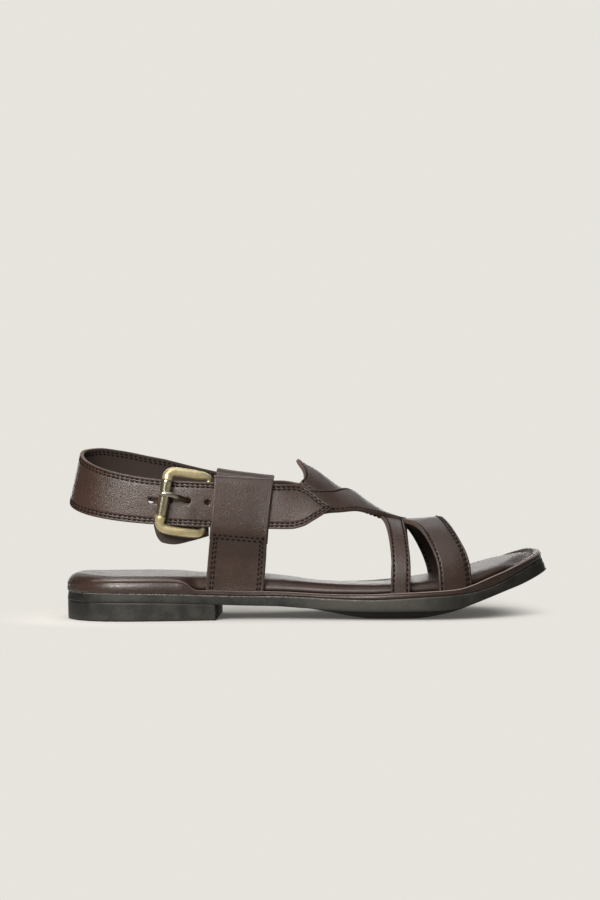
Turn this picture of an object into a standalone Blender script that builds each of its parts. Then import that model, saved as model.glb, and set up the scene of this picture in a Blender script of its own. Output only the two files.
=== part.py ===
"""Peshawari chappal: a right men's leather sandal on a low rubber sole.

+X runs to the toe, -Y is the outer (lateral) side, +Z is up, the floor is Z = 0.
Every table below is in millimetres; MM turns them into metres.
"""

import math

import bpy
import numpy as np
from mathutils import Vector

MM = 0.001

# ---------------------------------------------------------------- driving dimensions (mm)
GAP = 0.3              # clearance between neighbouring pieces
STRAP_WALL = 2.2       # leather of the upper
HEEL_STRAP_WALL = 2.4  # two plies stitched together
LOOP_WALL = 1.6        # folded side loops
GUARD_WALL = 1.6       # flap that keeps the buckle off the ankle
STRAP_INSET = 4.5      # inner face of every strap, in from the sole's edge
SEAT_DEPTH = 1.7       # how far the straps stand down in the midsole
BREAST_LATERAL, BREAST_MEDIAL = -55.5, -50.5   # front face of the heel block
WIRE, HINGE, UNDER_ROLLER = 2.7, 1.3, 2.0      # buckle wire radii
ROLLER_OUT, ROLLER_IN = 3.3, 2.5
PRONG = 1.25
HOLE = 1.7             # punched holes of the heel strap
PRONG_HOLE = 3.2
PER_SPAN = 2           # outline points for each span of PLAN
INSIDE = np.array([0.0, 0.0, 20.0])   # a point inside the shoe, which straps face away from

# Sole outline seen from above: station, outer side, inner side.
PLAN = {
    "x":       [-144.3, -141.0, -133.0, -119.0, -100.0, -80.0, -74.0, -69.0, -64.0, -58.0, -36.0,
                -14.0, 6.0, 26.0, 46.0, 66.0, 84.0, 100.0, 114.0, 126.0, 136.0, 142.4, 144.3],
    "lateral": [-0.5, -13.0, -24.0, -31.2, -33.4, -33.0, -32.7, -32.3, -31.9, -31.6, -31.2, -33.8,
                -38.4, -43.8, -48.6, -50.8, -49.8, -45.4, -38.4, -29.2, -17.6, -5.4, 6.0],
    "medial":  [-0.5, 12.5, 23.0, 30.0, 32.2, 31.6, 31.2, 30.8, 30.3, 29.8, 28.6, 29.6, 33.4, 39.4,
                45.4, 49.7, 50.7, 47.8, 42.3, 35.2, 26.6, 16.6, 6.0],
}

# Heights of the sole along the shoe: underside in the middle and at the edge, top of the
# rubber, top of the leather rand on each side, top of the padded footbed, and insets.
SOLE = {
    "x":          [-144.3, -120.0, -95.0, -80.0, -76.5, -73.0, -70.5, -68.3, -66.0, -55.0, -40.0,
                   -20.0, -5.0, 10.0, 25.0, 36.0, 48.0, 60.0, 70.0, 80.0, 88.0, 96.0, 106.0, 116.0,
                   126.0, 136.0, 144.3],
    "floor":      [11.3, 11.3, 11.1, 10.7, 10.6, 10.4, 10.3, 10.2, 10.1, 9.4, 8.6, 8.1, 6.9, 4.2, 1.2,
                   0.0, 0.0, 0.0, 0.9, 2.8, 5.2, 8.2, 12.3, 16.0, 19.2, 22.9, 26.2],
    "edge":       [11.3, 11.3, 11.1, 10.7, 10.6, 10.4, 10.3, 10.2, 10.1, 9.4, 8.7, 8.2, 7.2, 6.5, 6.2,
                   6.2, 6.3, 6.4, 6.4, 6.7, 7.6, 9.4, 12.7, 16.1, 19.2, 22.9, 26.2],
    "deck":       [16.9, 16.9, 16.5, 16.0, 15.9, 15.7, 15.6, 15.5, 15.4, 14.9, 14.4, 14.2, 13.7, 12.9,
                   12.4, 12.3, 12.7, 13.5, 14.0, 14.5, 15.1, 16.1, 18.5, 22.2, 26.6, 30.9, 33.6],
    "rim_out":    [23.6, 23.9, 23.9, 23.6, 23.2, 21.9, 20.0, 18.7, 18.2, 17.9, 17.2, 17.0, 16.4, 15.7,
                   15.6, 15.7, 16.3, 16.8, 17.3, 17.8, 18.6, 20.7, 24.5, 28.0, 31.7, 35.0, 36.2],
    "rim_in":     [23.6, 23.9, 23.9, 23.6, 23.3, 22.8, 22.3, 21.7, 21.3, 20.3, 19.6, 18.9, 17.6, 16.2,
                   15.7, 15.7, 16.2, 16.9, 17.6, 18.4, 19.6, 22.0, 26.1, 30.3, 34.1, 36.9, 36.8],
    "lip":        [2.1, 2.1, 2.1, 2.1, 2.1, 2.2, 2.3, 2.2, 2.1, 2.0, 2.0, 2.0, 2.0, 2.0, 2.0, 2.0, 2.0,
                   2.0, 2.0, 1.9, 1.8, 1.7, 1.5, 1.3, 1.0, 0.8, 0.7],
    "crown":      [26.2, 26.4, 26.4, 26.2, 26.1, 25.9, 25.8, 25.7, 25.6, 25.0, 24.2, 23.1, 21.9, 20.6,
                   19.8, 19.7, 20.0, 20.9, 21.9, 23.3, 24.7, 26.6, 29.3, 31.9, 34.4, 36.6, 37.1],
    "rubber_in":  [0.6, 0.5, 0.4, 0.3, 0.3, 0.2, 0.2, 0.1, 0.1, 0.0, 0.0, 0.0, 0.0, 0.0, 0.0, 0.0, 0.0,
                   0.0, 0.0, 0.0, 0.0, 0.0, 0.2, 0.5, 1.0, 1.9, 2.7],
    "rand_in":    [0.0, 0.1, 0.3, 0.5, 0.5, 0.6, 0.6, 0.7, 0.7, 0.8, 0.9, 0.9, 0.9, 0.9, 0.9, 0.9, 0.9,
                   0.9, 0.9, 0.9, 0.9, 0.9, 1.0, 1.2, 1.7, 2.6, 3.3],
    "footbed_in": [1.8, 1.8, 1.9, 2.1, 2.3, 3.0, 3.9, 4.6, 4.9, 5.1, 5.1, 5.1, 5.1, 5.1, 5.1, 5.1, 5.1,
                   5.1, 5.1, 5.1, 5.1, 5.1, 5.2, 5.6, 6.4, 7.4, 8.1],
}

# The last: crest height of the straps' inner face, fullness of its shoulders, and the height
# where its sides become upright.
LAST = {
    "x":     [-95.0, -75.0, -60.0, -40.0, -20.0, -5.0, 5.0, 18.0, 26.0, 36.0, 46.0, 52.0, 58.0,
              66.0, 79.0, 90.0, 98.0],
    "crest": [140.0, 138.0, 135.0, 126.0, 108.0, 91.3, 85.3, 75.5, 71.2, 64.1, 58.4, 56.2, 54.6,
              54.8, 55.7, 54.5, 52.0],
    "full":  [4.5, 6.0, 7.0, 7.0, 6.2, 6.0, 5.3, 4.0, 3.2, 2.5, 2.0, 1.8, 1.8,
              2.0, 2.4, 2.5, 2.5],
    "foot":  [20.0, 20.0, 20.0, 20.0, 20.0, 20.0, 20.0, 20.0, 20.0, 20.0, 20.0, 20.0, 20.0,
              20.0, 20.6, 22.0, 24.0],
}

# Straps of the upper. Each row is one rib across a strap: station and girth angle of one
# edge, then of the other, then the lift above the last. The angle is 0 on the crest, -90 at
# the outer side's foot, +90 at the inner side's, and 100 down in the sole.
INSTEP = [  # from inside the inner loop, over the instep, down to the narrow outer strap
    (-50.0, 71.0, -50.0, 58.2, 2.1), (-25.0, 66.0, -25.0, 50.8, 2.1), (-6.0, 59.0, -9.0, 39.8, 1.6),
    (4.0, 52.5, -3.8, 35.8, 0.8), (10.5, 47.5, -1.6, 31.5, 0.3), (17.0, 42.8, -1.0, 25.5, 0.0),
    (23.3, 38.1, -1.9, 17.5, 0.0), (29.0, 32.8, -4.2, 9.5, 0.0), (34.8, 26.8, -6.6, 0.5, 0.0),
    (38.5, 22.5, -5.8, -9.0, 0.0), (41.5, 18.5, -3.2, -17.0, 0.0), (44.5, 14.0, -2.8, -26.0, 0.0),
    (47.5, 11.0, -4.6, -33.5, 0.0), (50.0, 9.0, 8.0, -35.0, 0.0), (52.2, 6.5, 24.0, -29.5, 0.0),
    (54.3, 3.5, 35.5, -20.0, 0.0), (56.4, -1.0, 40.6, -15.2, 0.0), (57.1, -8.0, 43.3, -14.4, 0.0),
    (57.2, -16.0, 44.7, -19.0, 0.0), (57.5, -26.0, 45.8, -27.5, 0.0), (58.1, -41.0, 46.8, -41.0, 0.0),
    (59.0, -57.0, 47.6, -57.0, 0.0), (59.2, -73.0, 47.9, -73.0, 0.0), (58.8, -90.0, 47.6, -90.0, 0.0),
    (58.8, -100.0, 47.6, -100.0, 0.0),
]
OVERLAY_STRAP = [  # from the buckle's hinge, over the crest, down to the narrow inner strap
    (-60.4, -71.0, -58.4, -58.3, 2.2), (-30.0, -67.6, -30.0, -52.5, 2.2), (-8.0, -58.5, -8.0, -40.5, 1.9),
    (6.0, -49.9, -1.0, -36.6, 1.4), (14.4, -43.2, 4.5, -33.6, 1.4), (23.3, -36.2, 8.4, -30.2, 1.4),
    (28.9, -30.8, 12.5, -25.0, 1.4), (34.8, -24.8, 15.6, -18.9, 1.4), (39.6, -19.4, 18.4, -12.5, 1.5),
    (44.6, -13.2, 22.0, -5.5, 1.7), (49.8, -8.4, 26.4, 0.5, 1.7), (54.6, -5.0, 31.8, 7.0, 1.5),
    (58.4, 1.0, 38.0, 13.0, 1.4), (60.0, 8.0, 43.4, 18.0, 1.4), (60.8, 16.0, 47.0, 24.0, 1.4),
    (61.4, 26.0, 49.2, 32.0, 1.3), (62.2, 41.0, 50.8, 42.0, 0.9), (63.4, 57.0, 52.2, 57.5, 0.3),
    (64.0, 73.0, 53.2, 73.0, 0.0), (63.6, 90.0, 53.0, 90.0, 0.0), (63.6, 100.0, 53.0, 100.0, 0.0),
]
TOE_BAND = [  # wide band over the toes, tucked under the overlay at the crest
    (75.7, -100.0, 94.6, -100.0, 0.0), (75.7, -90.0, 94.6, -90.0, 0.0), (75.1, -72.0, 94.0, -74.0, 0.1),
    (73.1, -58.9, 91.9, -59.0, 0.3), (70.2, -44.5, 88.6, -45.0, 0.5), (66.4, -28.0, 85.2, -29.0, 0.6),
    (61.2, -13.0, 82.7, -15.0, 0.6), (55.0, -3.0, 81.5, -3.0, 0.6), (55.0, 6.0, 81.4, 6.0, 0.6),
    (57.6, 16.0, 82.0, 16.0, 0.6), (61.0, 31.0, 84.4, 31.0, 0.6), (65.0, 44.8, 88.0, 45.0, 0.5),
    (70.4, 64.0, 93.0, 63.0, 0.3), (74.2, 80.0, 96.2, 80.0, 0.1), (75.4, 90.0, 96.6, 90.0, 0.0),
    (75.4, 100.0, 96.6, 100.0, 0.0),
]

# Heel strap. Along each side it is set by station; round the back by angle (degrees from
# straight back, inner side positive). Columns: place, lower edge, upper edge, lift.
STRAP_INNER = {
    "x":    [-24.0, -40.0, -54.0, -70.0, -90.0],
    "low":  [52.4, 55.4, 58.3, 62.0, 67.2],
    "high": [79.0, 81.6, 84.5, 88.5, 94.0],
    "lift": [4.8, 4.8, 4.8, 3.8, 2.6],
}
STRAP_BACK = {
    "angle": [90.0, 62.0, 40.0, 20.0, 0.0, -20.0, -40.0, -62.0, -90.0],
    "low":   [67.2, 71.0, 72.2, 71.0, 68.3, 65.3, 62.5, 60.0, 57.5],
    "high":  [94.0, 98.6, 100.5, 100.1, 98.1, 94.8, 91.3, 87.8, 84.2],
}
STRAP_OUTER = {
    "x":    [-90.0, -80.0, -70.0, -62.0, -40.0, -20.0, -10.0, -3.5, 2.5, 8.0, 11.4],
    "low":  [57.5, 56.9, 56.5, 56.1, 55.0, 54.2, 53.8, 54.9, 57.8, 60.8, 62.8],
    "high": [84.2, 83.1, 82.5, 82.1, 80.9, 79.0, 77.5, 75.0, 70.8, 66.3, 64.3],
    "lift": [2.4, 3.2, 4.5, 4.8, 4.8, 4.8, 4.8, 4.8, 4.8, 4.8, 4.8],
}
BACK_CENTRE, BACK_REACH_LOW, BACK_REACH_HIGH = -90.0, 50.2, 43.4

# Side loops: one strip from the sole, over the straps and down behind them. Columns: lift of
# the leather's middle, height above the top of the fold (negative) or above the sole.
LOOP_PATH = [  # (lift, height, measured from: "sole" or "fold")
    (1.1, 0.0, "sole"), (1.1, 8.0, "sole"), (1.3, 15.5, "sole"), (1.8, 22.0, "sole"),
    (2.9, -42.4, "fold"), (4.6, -38.4, "fold"), (6.5, -34.8, "fold"), (7.9, -31.4, "fold"),
    (8.45, -26.5, "fold"), (8.45, -17.0, "fold"), (8.45, -9.0, "fold"), (8.45, -3.0, "fold"),
    (7.6, -0.9, "fold"), (4.55, -0.2, "fold"), (1.5, -0.9, "fold"), (0.7, -3.2, "fold"),
    (0.7, -9.0, "fold"), (0.7, -17.0, "fold"), (0.7, -25.0, "fold"), (0.6, -31.0, "fold"),
    (0.1, -37.0, "fold"),
]
LOOP_EDGES = {  # rear and front edges: station at the sole and at the fold, height of fold
    "lateral_loop": dict(side=-1, rear=(-62.0, -56.2, 85.4), front=(-27.4, -21.6, 82.2)),
    "medial_loop":  dict(side=1, rear=(-60.0, -53.9, 86.4), front=(-26.4, -19.6, 80.9)),
}

GUARD = {
    "x":    [-92.0, -90.6, -87.0, -80.0, -70.0, -59.6],
    "low":  [56.0, 50.8, 46.6, 45.5, 47.4, 50.2],
    "high": [70.0, 75.5, 78.8, 80.0, 80.0, 79.5],
}

# Buckle frame, once round: station, height, lift above the last, wire radius.
FRAME = [
    (-88.3, 60.5, 9.0, UNDER_ROLLER), (-85.8, 73.0, 9.0, UNDER_ROLLER), (-83.5, 84.2, 9.0, UNDER_ROLLER),
    (-83.0, 86.0, 8.7, 2.4), (-81.2, 87.5, 8.3, WIRE), (-77.9, 87.8, 7.6, WIRE), (-70.4, 86.8, 6.2, WIRE),
    (-64.0, 85.8, 5.0, 2.5), (-60.3, 84.9, 3.9, 2.0), (-59.0, 83.2, 3.1, 1.5), (-59.9, 80.6, 2.9, HINGE),
    (-61.6, 69.0, 2.9, HINGE), (-62.8, 57.5, 2.9, HINGE), (-63.2, 54.4, 3.2, 1.7), (-65.0, 52.4, 4.1, 2.4),
    (-68.5, 52.3, 5.3, WIRE), (-76.0, 53.2, 7.4, WIRE), (-83.0, 54.5, 8.4, WIRE), (-87.0, 55.9, 8.7, WIRE),
    (-88.5, 58.4, 8.9, 2.4),
]
PRONG_PATH = [  # station, height, lift, thickness factor
    (-63.5, 70.9, 2.7, 1.0), (-67.4, 71.1, 2.6, 1.0), (-69.6, 71.3, 3.3, 1.0), (-71.8, 71.5, 5.7, 1.0),
    (-73.6, 72.1, 8.2, 1.0), (-76.6, 73.3, 11.0, 1.0), (-80.0, 74.4, 13.1, 1.0),
    (-83.0, 75.1, 13.9, 1.05), (-85.6, 75.5, 13.9, 1.1), (-87.6, 75.7, 13.3, 0.8),
]
HOLES = [(-93.6, 71.9, HOLE), (-82.4, 71.8, HOLE), (-71.8, 71.5, PRONG_HOLE), (-60.2, 70.6, HOLE),
         (-50.6, 69.8, HOLE)]   # station, height, radius

LEATHER = ((0.085, 0.052, 0.038, 1.0), 0.5, 0.0)
FOOTBED = ((0.075, 0.047, 0.036, 1.0), 0.42, 0.0)
RUBBER = ((0.022, 0.023, 0.021, 1.0), 0.45, 0.0)
BRASS = ((0.48, 0.35, 0.13, 1.0), 0.35, 1.0)


# ---------------------------------------------------------------- curves and surfaces
def smooth(xs, ys, at):
    """Cubic through the points (xs, ys) that never overshoots them."""
    xs, ys = np.asarray(xs, float), np.asarray(ys, float)
    if xs[0] > xs[-1]:
        xs, ys = xs[::-1], ys[::-1]
    step = np.diff(xs)
    rise = np.diff(ys) / step
    slope = np.zeros(len(xs))
    slope[0], slope[-1] = rise[0], rise[-1]
    for i in range(1, len(xs) - 1):
        if rise[i - 1] * rise[i] > 0:
            w1, w2 = 2 * step[i] + step[i - 1], step[i] + 2 * step[i - 1]
            slope[i] = (w1 + w2) / (w1 / rise[i - 1] + w2 / rise[i])
    at = float(np.clip(at, xs[0], xs[-1]))
    i = int(np.clip(np.searchsorted(xs, at) - 1, 0, len(xs) - 2))
    t = (at - xs[i]) / step[i]
    return float((2 * t**3 - 3 * t**2 + 1) * ys[i] + (t**3 - 2 * t**2 + t) * step[i] * slope[i]
                 + (3 * t**2 - 2 * t**3) * ys[i + 1] + (t**3 - t**2) * step[i] * slope[i + 1])


def sole(column, x):
    return smooth(SOLE["x"], SOLE[column], x)


def rim(x, side):
    return sole("rim_out" if side < 0 else "rim_in", x)


def half_width(x, side):
    return abs(smooth(PLAN["x"], PLAN["lateral" if side < 0 else "medial"], x))


def through(rows, per_span):
    """Rows of numbers made denser by a Catmull-Rom curve through them."""
    rows = np.asarray(rows, float)
    padded = np.vstack([2 * rows[0] - rows[1], rows, 2 * rows[-1] - rows[-2]])
    dense = []
    for i in range(1, len(padded) - 2):
        p0, p1, p2, p3 = padded[i - 1:i + 3]
        for k in range(per_span):
            t = k / per_span
            dense.append(0.5 * (2 * p1 + (p2 - p0) * t + (2 * p0 - 5 * p1 + 4 * p2 - p3) * t**2
                                + (3 * p1 - p0 - 3 * p2 + p3) * t**3))
    return np.array(dense + [rows[-1]])


def last(column, x):
    return smooth(LAST["x"], LAST[column], x)


def last_point(x, girth):
    """Point of the last at a station and a girth angle; past 90 it runs down to the seat."""
    side = -1 if girth < 0 else 1
    angle = math.radians(min(abs(girth), 90.0))
    y = (half_width(x, side) - STRAP_INSET) * math.sin(angle) + last("full", x) * math.sin(2 * angle)
    z = last("foot", x) + (last("crest", x) - last("foot", x)) * math.cos(angle)
    if abs(girth) > 90:
        z -= (abs(girth) - 90) / 10 * (last("foot", x) - rim(x, side) + SEAT_DEPTH)
    return np.array([x, side * y, z])


def on_last(x, girth, lift=0.0):
    """The same point, moved outward from the last by lift."""
    along = last_point(x + 0.5, girth) - last_point(x - 0.5, girth)
    if abs(girth) > 90:
        round_it = np.array([0.0, 0.0, math.copysign(1.0, -girth)])
    else:
        round_it = last_point(x, min(girth + 1, 90)) - last_point(x, max(girth - 1, -90))
    normal = np.cross(along, round_it)
    normal /= -np.linalg.norm(normal)
    middle = np.array([x, 0.0, last("foot", x)])
    if np.dot(normal, last_point(x, girth) - middle) < 0:
        normal = -normal
    return last_point(x, girth) + normal * lift


def girth_at(x, z, side):
    share = (z - last("foot", x)) / (last("crest", x) - last("foot", x))
    return side * math.degrees(math.acos(np.clip(share, 0, 1)))


def beside_last(x, z, side, lift):
    """Point beside the last at a station and a height."""
    if z < last("foot", x):
        return on_last(x, side * 90.0, lift) + np.array([0, 0, z - last("foot", x)])
    return on_last(x, girth_at(x, z, side), lift)


# ---------------------------------------------------------------- building blocks
def clear_scene():
    for obj in list(bpy.data.objects):
        bpy.data.objects.remove(obj, do_unlink=True)
    sandal = bpy.data.collections.new("peshawari_chappal")
    helpers = bpy.data.collections.new("cutters")
    helpers.hide_render = True
    for collection in (sandal, helpers):
        bpy.context.scene.collection.children.link(collection)
    return sandal, helpers


SANDAL, CUTTERS = clear_scene()


def finish_of(name, look):
    colour, roughness, metallic = look
    material = bpy.data.materials.new(name)
    material.use_nodes = True
    shader = material.node_tree.nodes["Principled BSDF"]
    shader.inputs["Base Color"].default_value = colour
    shader.inputs["Roughness"].default_value = roughness
    shader.inputs["Metallic"].default_value = metallic
    return material


def add(name, data, look=None):
    """Links an object as a piece of the sandal, or as a cutter when it has no look."""
    obj = bpy.data.objects.new(name, data)
    if look:
        SANDAL.objects.link(obj)
        data.materials.append(finish_of(name, look))
    else:
        CUTTERS.objects.link(obj)
        obj.hide_render = True
        obj.display_type = "WIRE"
    return obj


def mesh_from(name, points, faces):
    mesh = bpy.data.meshes.new(name)
    mesh.from_pydata([tuple(float(v) * MM for v in p) for p in points], [], faces)
    mesh.validate()
    return mesh


def sheet(name, rows, wall, look=None, offset=1.0):
    """A strap: rows of points across it, thickened to wall away from the shoe's middle."""
    rows = np.array(rows)
    n, m = rows.shape[:2]
    i, j = (n - 1) // 2, (m - 1) // 2
    here, along, across = rows[i, j], rows[i + 1, j] - rows[i, j], rows[i, j + 1] - rows[i, j]
    if np.dot(np.cross(across, along), here - INSIDE) < 0:
        rows = rows[:, ::-1]
    faces = [(i * m + j, i * m + j + 1, (i + 1) * m + j + 1, (i + 1) * m + j)
             for i in range(n - 1) for j in range(m - 1)]
    obj = add(name, mesh_from(name, rows.reshape(-1, 3), faces), look)
    solid = obj.modifiers.new("wall", "SOLIDIFY")
    solid.thickness = wall * MM
    solid.offset = offset
    return obj


def strap(name, ribs, across, per_span, look=None):
    """A strap of the upper from its ribs, following the last between its two edges."""
    rows = []
    for x1, g1, x2, g2, lift in through(ribs, per_span):
        rows.append([on_last(x1 + (x2 - x1) * t, g1 + (g2 - g1) * t, lift)
                     for t in np.linspace(0, 1, across + 1)])
    return sheet(name, rows, STRAP_WALL, look)


def boolean(obj, operation, other):
    cut = obj.modifiers.new(f"{operation.lower()} {other.name}", "BOOLEAN")
    cut.operation, cut.solver, cut.object = operation, "EXACT", other
    cut.use_self = operation == "UNION"


def outline(inset):
    """Points of the sole's outline, heel, outer side, toe, inner side, moved inward."""
    outer = [(x, y) for x, y in zip(PLAN["x"], PLAN["lateral"])]
    inner = [(x, y) for x, y in zip(PLAN["x"], PLAN["medial"])][-2:0:-1]
    loop = np.array(outer + inner)
    count = len(loop)
    wrapped = np.vstack([loop[-2:], loop, loop[:3]])
    dense = through(wrapped, PER_SPAN)[2 * PER_SPAN:(2 + count) * PER_SPAN]
    ahead, behind = np.roll(dense, -1, axis=0), np.roll(dense, 1, axis=0)
    tangent = ahead - behind
    tangent /= np.linalg.norm(tangent, axis=1)[:, None]
    normal = np.column_stack([-tangent[:, 1], tangent[:, 0]])
    depth = np.array([inset(x) if callable(inset) else inset for x in dense[:, 0]])
    return dense + normal * depth[:, None]


def layer(name, rings, look):
    """A layer of the sole from rings, bottom to top: (inset, height function of x and y)."""
    points, faces = [], []
    for inset, height in rings:
        ring = outline(inset)
        points += [(x, y, height(x, y)) for x, y in ring]
    n = len(ring)
    for k in range(len(rings) - 1):
        a, b = k * n, (k + 1) * n
        faces += [(a + i, a + (i + 1) % n, b + (i + 1) % n, b + i) for i in range(n)]
    half = n // 2
    top = (len(rings) - 1) * n
    for base, turn in ((0, True), (top, False)):
        for i in range(half):
            left = (base + i, base + (i + 1) % n)
            right = (base + (n - i - 1) % n, base + (n - i) % n)
            for face in ((left[0], left[1], right[0]), (left[0], right[0], right[1])):
                if len(set(face)) == 3:
                    faces.append(face[::-1] if turn else face)
    return add(name, mesh_from(name, points, faces), look)


def wire(name, path, radius, look, closed=False, sides=3):
    """A round bar along path, whose rows end in a radius factor."""
    data = bpy.data.curves.new(name, "CURVE")
    data.dimensions = "3D"
    data.bevel_depth = radius * MM
    data.bevel_resolution = sides
    data.use_fill_caps = not closed
    spline = data.splines.new("POLY")
    spline.points.add(len(path) - 1)
    for point, (x, y, z, factor) in zip(spline.points, path):
        point.co = (x * MM, y * MM, z * MM, 1)
        point.radius = factor
    spline.use_cyclic_u = closed
    return add(name, data, look)


def turned(start, end, profile, sides=16):
    """Points and faces of a round solid about the line from start to end: (distance along, radius) rows."""
    start, end = Vector(start), Vector(end)
    axis = (end - start).normalized()
    u = axis.orthogonal().normalized()
    v = axis.cross(u)
    points, faces = [], []
    for along, radius in profile:
        for k in range(sides):
            angle = 2 * math.pi * k / sides
            points.append(start + axis * along + (u * math.cos(angle) + v * math.sin(angle)) * radius)
    rows = len(profile)
    for i in range(rows):
        j = (i + 1) % rows
        if profile[i][1] == 0 and profile[j][1] == 0:
            continue
        faces += [(i * sides + k, i * sides + (k + 1) % sides, j * sides + (k + 1) % sides, j * sides + k)
                  for k in range(sides)]
    return points, faces


# ---------------------------------------------------------------- sole
def edge_height(x, _y):
    return sole("edge", x)


def floor_height(x, _y):
    return sole("floor", x)


def cambered(share):
    return lambda x, y: sole("floor", x) + share * (sole("edge", x) - sole("floor", x))


def rim_height(x, y):
    return rim(x, -1 if y < 0 else 1) if abs(y) > 12 else (
        rim(x, -1) + (rim(x, 1) - rim(x, -1)) * (y + 12) / 24)


def padded(share, drop=0.0):
    """Height on the footbed: its lip, plus a share of the way up to the crown."""
    def height(x, y):
        lip = rim_height(x, y) + sole("lip", x) - drop
        return lip + share * (sole("crown", x) - lip)
    return height


def offset(column, more=0.0):
    return lambda x: sole(column, x) + more


outsole = layer("outsole", [
    (20.0, floor_height), (8.0, cambered(0.2)), (0.2, edge_height),
    (lambda x: 0.3 * sole("rubber_in", x), lambda x, y: sole("edge", x) + 0.8),
    (offset("rubber_in"), lambda x, y: sole("deck", x) - 0.4),
    (offset("rubber_in", 0.4), lambda x, y: sole("deck", x)),
], RUBBER)

heel_block = layer("heel_block", [
    (1.0, lambda x, y: 0.0), (0.3, lambda x, y: 0.7), (0.6, lambda x, y: floor_height(x, y) - GAP),
], RUBBER)
breast = add("breast_cut", mesh_from("breast_cut", [
    (BREAST_LATERAL - 3.2, -60, -5), (BREAST_MEDIAL + 2.3, 60, -5), (200, 60, -5), (200, -60, -5),
    (BREAST_LATERAL - 3.2, -60, 60), (BREAST_MEDIAL + 2.3, 60, 60), (200, 60, 60), (200, -60, 60)],
    [(0, 1, 2, 3), (7, 6, 5, 4), (4, 5, 1, 0), (5, 6, 2, 1), (6, 7, 3, 2), (7, 4, 0, 3)]))
boolean(heel_block, "DIFFERENCE", breast)

midsole = layer("midsole", [
    (offset("rand_in", 0.7), lambda x, y: sole("deck", x) + GAP),
    (offset("rand_in", 0.1), lambda x, y: sole("deck", x) + GAP + 0.8),
    (offset("rand_in", 0.0), lambda x, y: 0.4 * sole("deck", x) + 0.6 * rim_height(x, y)),
    (offset("rand_in", 0.5), lambda x, y: rim_height(x, y) - 0.35),
    (offset("rand_in", 1.2), rim_height),
    (offset("footbed_in", 0.5), rim_height),
], LEATHER)

footbed = layer("footbed", [
    (offset("footbed_in", 0.5), lambda x, y: rim_height(x, y) + GAP),
    (offset("footbed_in"), padded(0.0, 0.7)),
    (offset("footbed_in", 0.7), padded(0.12)),
    (offset("footbed_in", 3.0), padded(0.45)),
    (offset("footbed_in", 8.0), padded(0.85)),
    (offset("footbed_in", 14.0), padded(1.0)),
], FOOTBED)


# ---------------------------------------------------------------- upper
upper = strap("upper", INSTEP, across=6, per_span=2, look=LEATHER)
overlay = strap("overlay_strap", OVERLAY_STRAP, across=4, per_span=2)
toe_band = strap("toe_band", TOE_BAND, across=4, per_span=2)
for piece in (overlay, toe_band):
    boolean(upper, "UNION", piece)


def slot(name, x1, x2, side, lift, wall):
    """A slot in the midsole that a strap's foot stands in, GAP wide of it all round."""
    rows = [[on_last(x, side * 90.0, lift - GAP) * np.array([1, 1, 0])
             + np.array([0, 0, rim(x, side) - SEAT_DEPTH - GAP + up]) for up in (0.0, 10.0)]
            for x in np.linspace(x1 - GAP - 0.1, x2 + GAP + 0.1, 8)]
    cutter = sheet(name, rows, wall + 2 * GAP)
    boolean(midsole, "DIFFERENCE", cutter)


for name, foot, side in (("slot_narrow_outer", INSTEP[-1], -1), ("slot_narrow_inner", OVERLAY_STRAP[-1], 1),
                         ("slot_toe_outer", TOE_BAND[0], -1), ("slot_toe_inner", TOE_BAND[-1], 1)):
    slot(name, min(foot[0], foot[2]), max(foot[0], foot[2]), side, 0.0, STRAP_WALL)


def side_loop(name, side, rear, front):
    columns = []
    for t in np.linspace(0, 1, 7):
        at_sole, at_fold, top = (a + (b - a) * t for a, b in zip(rear, front))
        foot = rim(at_sole, side) - SEAT_DEPTH
        path = [(lift, (top if start == "fold" else foot) + height) for lift, height, start in LOOP_PATH]
        column = []
        for lift, z in through(path, 2):
            share = np.clip((z - foot) / (top - foot), 0, 1)
            column.append(beside_last(at_sole + (at_fold - at_sole) * share, z, side, lift))
        columns.append(column)
    sheet(name, np.swapaxes(columns, 0, 1), LOOP_WALL, LEATHER, offset=0.0)
    slot(f"slot_{name}", rear[0], front[0], side, 1.1 - LOOP_WALL / 2, LOOP_WALL)


for loop_name, edges in LOOP_EDGES.items():
    side_loop(loop_name, **edges)


# ---------------------------------------------------------------- heel strap
def heel_strap_rows():
    rows, shares = [], np.linspace(0, 1, 5)

    def beside(table, stations, side):
        for x in stations:
            low, high, lift = (smooth(table["x"], table[c], x) for c in ("low", "high", "lift"))
            rows.append([beside_last(x, low + (high - low) * t, side, lift) for t in shares])

    beside(STRAP_INNER, np.linspace(-24.0, -84.0, 8), 1)
    for angle in np.linspace(84, -84, 19):
        low, high = (smooth(STRAP_BACK["angle"], STRAP_BACK[c], angle) for c in ("low", "high"))
        side = 1 if angle > 0 else -1
        row = []
        for t in shares:
            z = low + (high - low) * t
            wide_in = beside_last(BACK_CENTRE, z, 1, STRAP_INNER["lift"][-1])[1]
            wide_out = -beside_last(BACK_CENTRE, z, -1, STRAP_OUTER["lift"][0])[1]
            reach = BACK_REACH_LOW + (BACK_REACH_HIGH - BACK_REACH_LOW) * t
            s, c = math.sin(math.radians(angle)), math.cos(math.radians(angle))
            y = math.copysign(abs(s) ** 0.94, s) * (wide_in if side > 0 else wide_out)
            row.append(np.array([BACK_CENTRE - reach * abs(c) ** 0.94, y, z]))
        rows.append(row)
    stations = [-84.0, -78.0, -72.0, -66.0, -60.0, -50.0, -40.0, -30.0, -20.0, -12.0, -6.0, -3.0,
                0.0, 3.0, 6.0, 8.5, 10.2, 11.4]
    beside(STRAP_OUTER, stations, -1)
    return rows


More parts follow.
